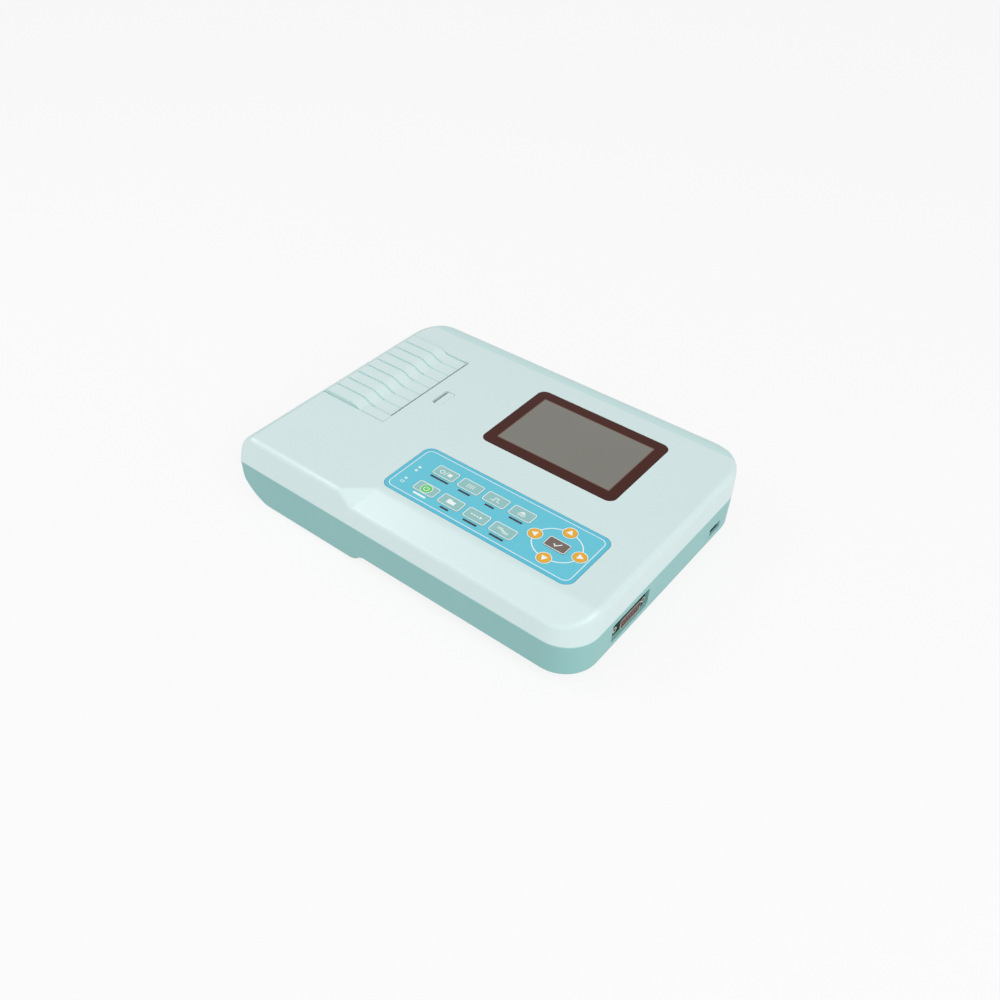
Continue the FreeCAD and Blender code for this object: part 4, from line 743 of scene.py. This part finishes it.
# %% A printed mark
def print_mark(name, faces, centre, level, finish, body, tier=1):
    """Makes one printed piece from faces of 2-D points and lets it ride on a body."""
    height = level + tier * INK_LIFT
    build = bmesh.new()
    for face in faces:
        build.faces.new([build.verts.new(((centre[X] + point[X]) * MM, (centre[Y] + point[Y]) * MM,
                                          height * MM)) for point in face])
    bmesh.ops.recalc_face_normals(build, faces=build.faces)
    for face in build.faces:
        if face.normal.z < 0:
            face.normal_flip()
    mesh = bpy.data.meshes.new(name)
    build.to_mesh(mesh)
    build.free()
    mesh.materials.append(finish.material)
    piece = put_in_scene(name, mesh)
    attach(piece, body)


def centre_of(node):
    """The middle of a solid, seen from above."""
    return middle(node, X), middle(node, Y)


def print_on_film(name, faces, centre, finish=WHITE_INK, tier=1):
    """Prints a mark on the keypad's film, which is fixed to the casing."""
    level = span("keypad_overlay", Z)[1]
    print_mark(name, faces, centre, level, finish, "casing", tier)


def print_on_key(key, name, faces, finish=WHITE_INK, tier=1):
    """Prints a mark on a key's cap, so that it goes down with the key."""
    level = span(key, Z)[1]
    print_mark(name, faces, centre_of(key), level, finish, key + "_body", tier)


print("film and keys at mm:", [round(span(node, Z)[1], 2)
                               for node in ("keypad_overlay", "enter_key")])

# %% [markdown]
# ## Printing on the film
# The film carries the inline, the ring through the four round keys and a short plain bar below
# each rectangular key. The two small lamps get a generic sign each. Every mark is placed from the
# middle of the solid that it belongs to, so it follows that solid.

# %% Inline and ring
INLINE_WIDTH = 0.55
RING_WIDTH = 0.7
RING_GAP = 4.7
print_on_film("film_inline", stroke(frame_path(INLINE_SIZE, INLINE_CORNER), INLINE_WIDTH, True),
              PAD_CENTRE)
RING_REACH = ((middle("right_key", X) - middle("left_key", X)) / 2,
              (middle("up_key", Y) - middle("down_key", Y)) / 2)
gap_angle = math.degrees(RING_GAP / RING_REACH[X])
ring_faces = []
for start in (0, 90, 180, 270):
    ring_faces += stroke(arc(ORIGIN, RING_REACH, start + gap_angle, start + 90 - gap_angle),
                         RING_WIDTH)
print_on_film("pad_ring", ring_faces, centre_of("enter_key"))
print("ring reach mm:", [round(reach, 2) for reach in RING_REACH])

# %% Bars below the keys
CAPTION_DROP = 7.5
CAPTION_HALF_HEIGHT = 0.85
CAPTION_LENGTHS = {"start_key": 15.0, "menu_key": 9.6, "calibrate_key": 7.4, "report_key": 10.4,
                   "power_key": 10.2, "file_key": 6.8, "speed_key": 11.0, "filter_key": 10.8}
for key, length in CAPTION_LENGTHS.items():
    bar = patch(-length / 2, -CAPTION_DROP - CAPTION_HALF_HEIGHT,
                length / 2, -CAPTION_DROP + CAPTION_HALF_HEIGHT)
    print_on_film(key + "_caption", [bar], centre_of(key),
                  WHITE_INK if key == "power_key" else DARK_INK)
print("bars:", len(CAPTION_LENGTHS))

# %% Lamp signs
SIGN_OFFSET = 2.9
SIGN_LINE = 0.4
lamp_x = middle("indicator_lenses", X)
lamp_front, lamp_back = span("indicator_lenses", Y)
mains_sign = [patch(-1.3, -0.9, 0.3, 0.9)]
for prong in (0.45, -0.45):
    mains_sign += stroke([(0.3, prong), (1.3, prong)], SIGN_LINE)
print_on_film("mains_sign", mains_sign, (lamp_x, lamp_back + SIGN_OFFSET))
charge_sign = stroke(frame_path(size=(2.6, 1.7), corner=0.4), SIGN_LINE, True)
print_on_film("charge_sign", charge_sign, (lamp_x, lamp_front - SIGN_OFFSET))
print("lamps at x mm:", round(lamp_x, 2))

# %% [markdown]
# ## Printing on the caps
# Each cap has a white frame and a plain pictogram: play and stop, a list, a calibration pulse, a
# sheet leaving a tray, a power sign, a folder, a dashed line, two waves. The round caps carry an
# arrow within a white rim on the film, and the dark cap a tick. A mark on a cap rides on its own
# key, so it goes down with it.

# %% Pictograms
LINE = 0.5
PULSE_LINE = 0.55
DASH_LINE = 1.0
pictograms = {
    "start_key": stroke([(-5.2, 0), (-3.2, 1.9), (-1.2, 0), (-3.2, -1.9)], LINE, True)
    + stroke([(-0.6, -2), (0.8, 2)], LINE) + [patch(1.8, -1.5, 4.8, 1.5)],
    "menu_key": [face for side in (-2.4, -0.8, 0.8, 2.4)
                 for face in stroke([(side, -1.9), (side, 1.9)], LINE)],
    "calibrate_key": stroke([(-3.6, -1.5), (-1.4, -1.5), (-1.4, 1.6),
                             (1.2, 1.6), (1.2, -1.5), (3.4, -1.5)], PULSE_LINE),
    "report_key": [[(-2.6, 0.2), (2.6, 0.2), (0, 2.3)]]
    + stroke([(-2.8, -0.7), (2.8, -0.7)], LINE) + stroke([(-2.8, -1.9), (2.8, -1.9)], LINE),
    "file_key": [[(-3.2, -1.9), (3.2, -1.9), (3.2, 1.3), (0.2, 1.3), (-0.5, 2.1), (-3.2, 2.1)]],
    "speed_key": [face for side in (-4.6, -2.4, -0.2)
                  for face in stroke([(side, 0), (side + 1.4, 0)], DASH_LINE)]
    + [[(2.2, -1.2), (4.6, 0), (2.2, 1.2)]],
    "filter_key": stroke([(-4.6, 1.2), (-1.5, 1.2), (1.5, -0.6), (4.6, -0.6)], LINE)
    + stroke([(-4.6, 0.2), (-1.8, 0.2), (1.2, -1.7), (4.6, -1.7)], LINE),
}
print("pictograms:", len(pictograms))

# %% Rectangular keys
FRAME_INSET = 0.25


def cap_frame(key, corner, width):
    """A frame just within the edge of a rectangular cap."""
    size = [extent(key, axis) - 2 * FRAME_INSET for axis in (X, Y)]
    return stroke(frame_path(size, corner), width, True)


for key in BAR_KEYS:
    faces = cap_frame(key, corner=1.4, width=0.55) + pictograms.get(key, [])
    print_on_key(key, key + "_mark", faces)
POWER_LINE = 0.6
power_sign = stroke(arc(ORIGIN, radius=1.9, first=125, last=415, steps=20), POWER_LINE)
power_sign += stroke([(0, 0.4), (0, 2.3)], POWER_LINE)
print_on_key("power_key", "power_halo", [circle(radius=4.4)], tier=2)
print_on_key("power_key", "power_disc", [circle(radius=3.9)], GREEN_INK, tier=3)
print_on_key("power_key", "power_sign", power_sign, tier=4)
print("framed keys:", len(BAR_KEYS))

# %% Round keys and the dark key
ARROW_REACH = 2.7
RIM_GAP = 0.5
RIM_WIDTH = 0.55
for key, turn in ROUND_KEYS.items():
    arrow = arc(ORIGIN, ARROW_REACH, turn, turn + 240, steps=2)
    print_on_key(key, key + "_mark", [arrow])
    rim_path = circle(extent(key, X) / 2 + RIM_GAP)
    print_on_film(key + "_rim", stroke(rim_path, RIM_WIDTH, True), centre_of(key), tier=2)
tick = stroke([(-2.4, 0.1), (-0.7, -1.6), (2.6, 1.9)], width=0.8)
print_on_key("enter_key", "enter_key_mark", cap_frame("enter_key", corner=1.2, width=0.5) + tick)
print("arrows:", len(ROUND_KEYS), "ticks: 1")

# %% [markdown]
# ## Camera
# The camera stands to the front right and looks down. Its place, turn and lens were found from
# the straight edges of the casing, so the picture's proportions agree with the solids. A small
# lens shift keeps the machine at its place in the picture.

# %% Camera
EYE = Vector((325.14, -447.15, 486.28)) * MM
# Turns about x, y and z, in degrees.
TILT, ROLL, HEADING = 47.9801, -0.3008, 39.6174
view_lens = bpy.data.cameras.new("camera")
view_lens.sensor_width = 36.0
view_lens.lens = 36.15
view_lens.shift_x = 0.0547
view_lens.shift_y = 0.0179
view_lens.clip_start = 0.01
camera = put_in_scene("camera", view_lens)
camera.location = EYE
camera.rotation_euler = [math.radians(angle) for angle in (TILT, ROLL, HEADING)]
scene.camera = camera
print("camera at", [round(value, 3) for value in EYE])

# %% [markdown]
# ## Light and floor
# A white surround, brighter towards the front right, gives soft fill. A wide lamp from the front
# right models the edges, and a narrow strip on the left draws a thin highlight along them. The
# camera, mirrors and glass see surround and floor as plain white; the floor keeps a faint shadow.


# %% World
def seen_directly(web):
    """1 for rays that come from the camera, from a glossy surface or through glass."""
    camera_ray = web.node("ShaderNodeLightPath", output="Is Camera Ray")
    reflected = camera_ray.beside("Is Glossy Ray")
    return camera_ray.most(reflected).most(camera_ray.beside("Is Transmission Ray"))


scene.view_settings.view_transform = "Standard"
FILL = 0.605
BRIGHT_SIDE = (0.36, -0.28, 0.0)
world = bpy.data.worlds.new("surround")
world.use_nodes = True
scene.world = world
sky = Web(world.node_tree)
slant = sky.node("ShaderNodeVectorMath", {"operation": "DOT_PRODUCT"},
                 {0: sky.node("ShaderNodeTexCoord", output="Generated"), 1: BRIGHT_SIDE}, "Value")
soft_fill = FILL * (1 + slant)
backdrop = sky.tree.nodes["Background"].inputs
backdrop["Color"].default_value = (1.0, 1.0, 1.0, 1.0)
connect(sky.tree, soft_fill + (1 - soft_fill) * seen_directly(sky), backdrop["Strength"])
print("surround:", FILL, "towards", BRIGHT_SIDE)


# %% Lamps
def lamp_at(name, place, size, power, along):
    """A soft rectangular lamp that faces the machine; its height runs along a direction."""
    light = bpy.data.lights.new(name, "AREA")
    light.shape = "RECTANGLE"
    light.size, light.size_y = size
    light.energy = power
    back = Vector(place).normalized()
    side = Vector(along).cross(back).normalized()
    turn = Matrix((side, back.cross(side), back)).transposed().to_4x4()
    put_in_scene(name, light).matrix_world = Matrix.Translation(place) @ turn


lamp_at("key_lamp", place=(1.15, -0.45, 1.0), size=(0.9, 0.9), power=9.2, along=(0, 0, 1))
lamp_at("edge_lamp", place=(-0.70, -0.52, 0.95), size=(0.10, 0.8), power=3.6,
        along=(0, 0.86, 0.52))
print("lamps:", len(bpy.data.lights))

# %% Floor
FLOOR_HALF = 3.0
FLOOR_GLOW = 0.86
FLOOR_GREY, FLOOR_SHADE = (0.71, 0.71, 0.71, 1.0), (0.73, 0.73, 0.73, 1.0)
floor_mesh = bpy.data.meshes.new("floor")
floor_corners = patch(-FLOOR_HALF, -FLOOR_HALF, FLOOR_HALF, FLOOR_HALF)
floor_mesh.from_pydata([(x, y, 0) for x, y in floor_corners], [], [(0, 1, 2, 3)])
floor = put_in_scene("floor", floor_mesh)
ground = Finish("floor_white")
ground.set(Base_Color=ground.blend(ground.noise(cells=3.0), FLOOR_GREY, FLOOR_SHADE), Roughness=0.9)
lit = Wire(ground.tree, ground.shader.outputs[0])
glow = ground.node("ShaderNodeEmission")
seen = ground.node("ShaderNodeMixShader",
                   values={0: FLOOR_GLOW * seen_directly(ground), 1: lit, 2: glow})
connect(ground.tree, seen, ground.tree.nodes["Material Output"].inputs["Surface"])
floor_mesh.materials.append(ground.material)
print("floor m:", 2 * FLOOR_HALF)

# %% [markdown]
# ## End

# %% End
print("done")
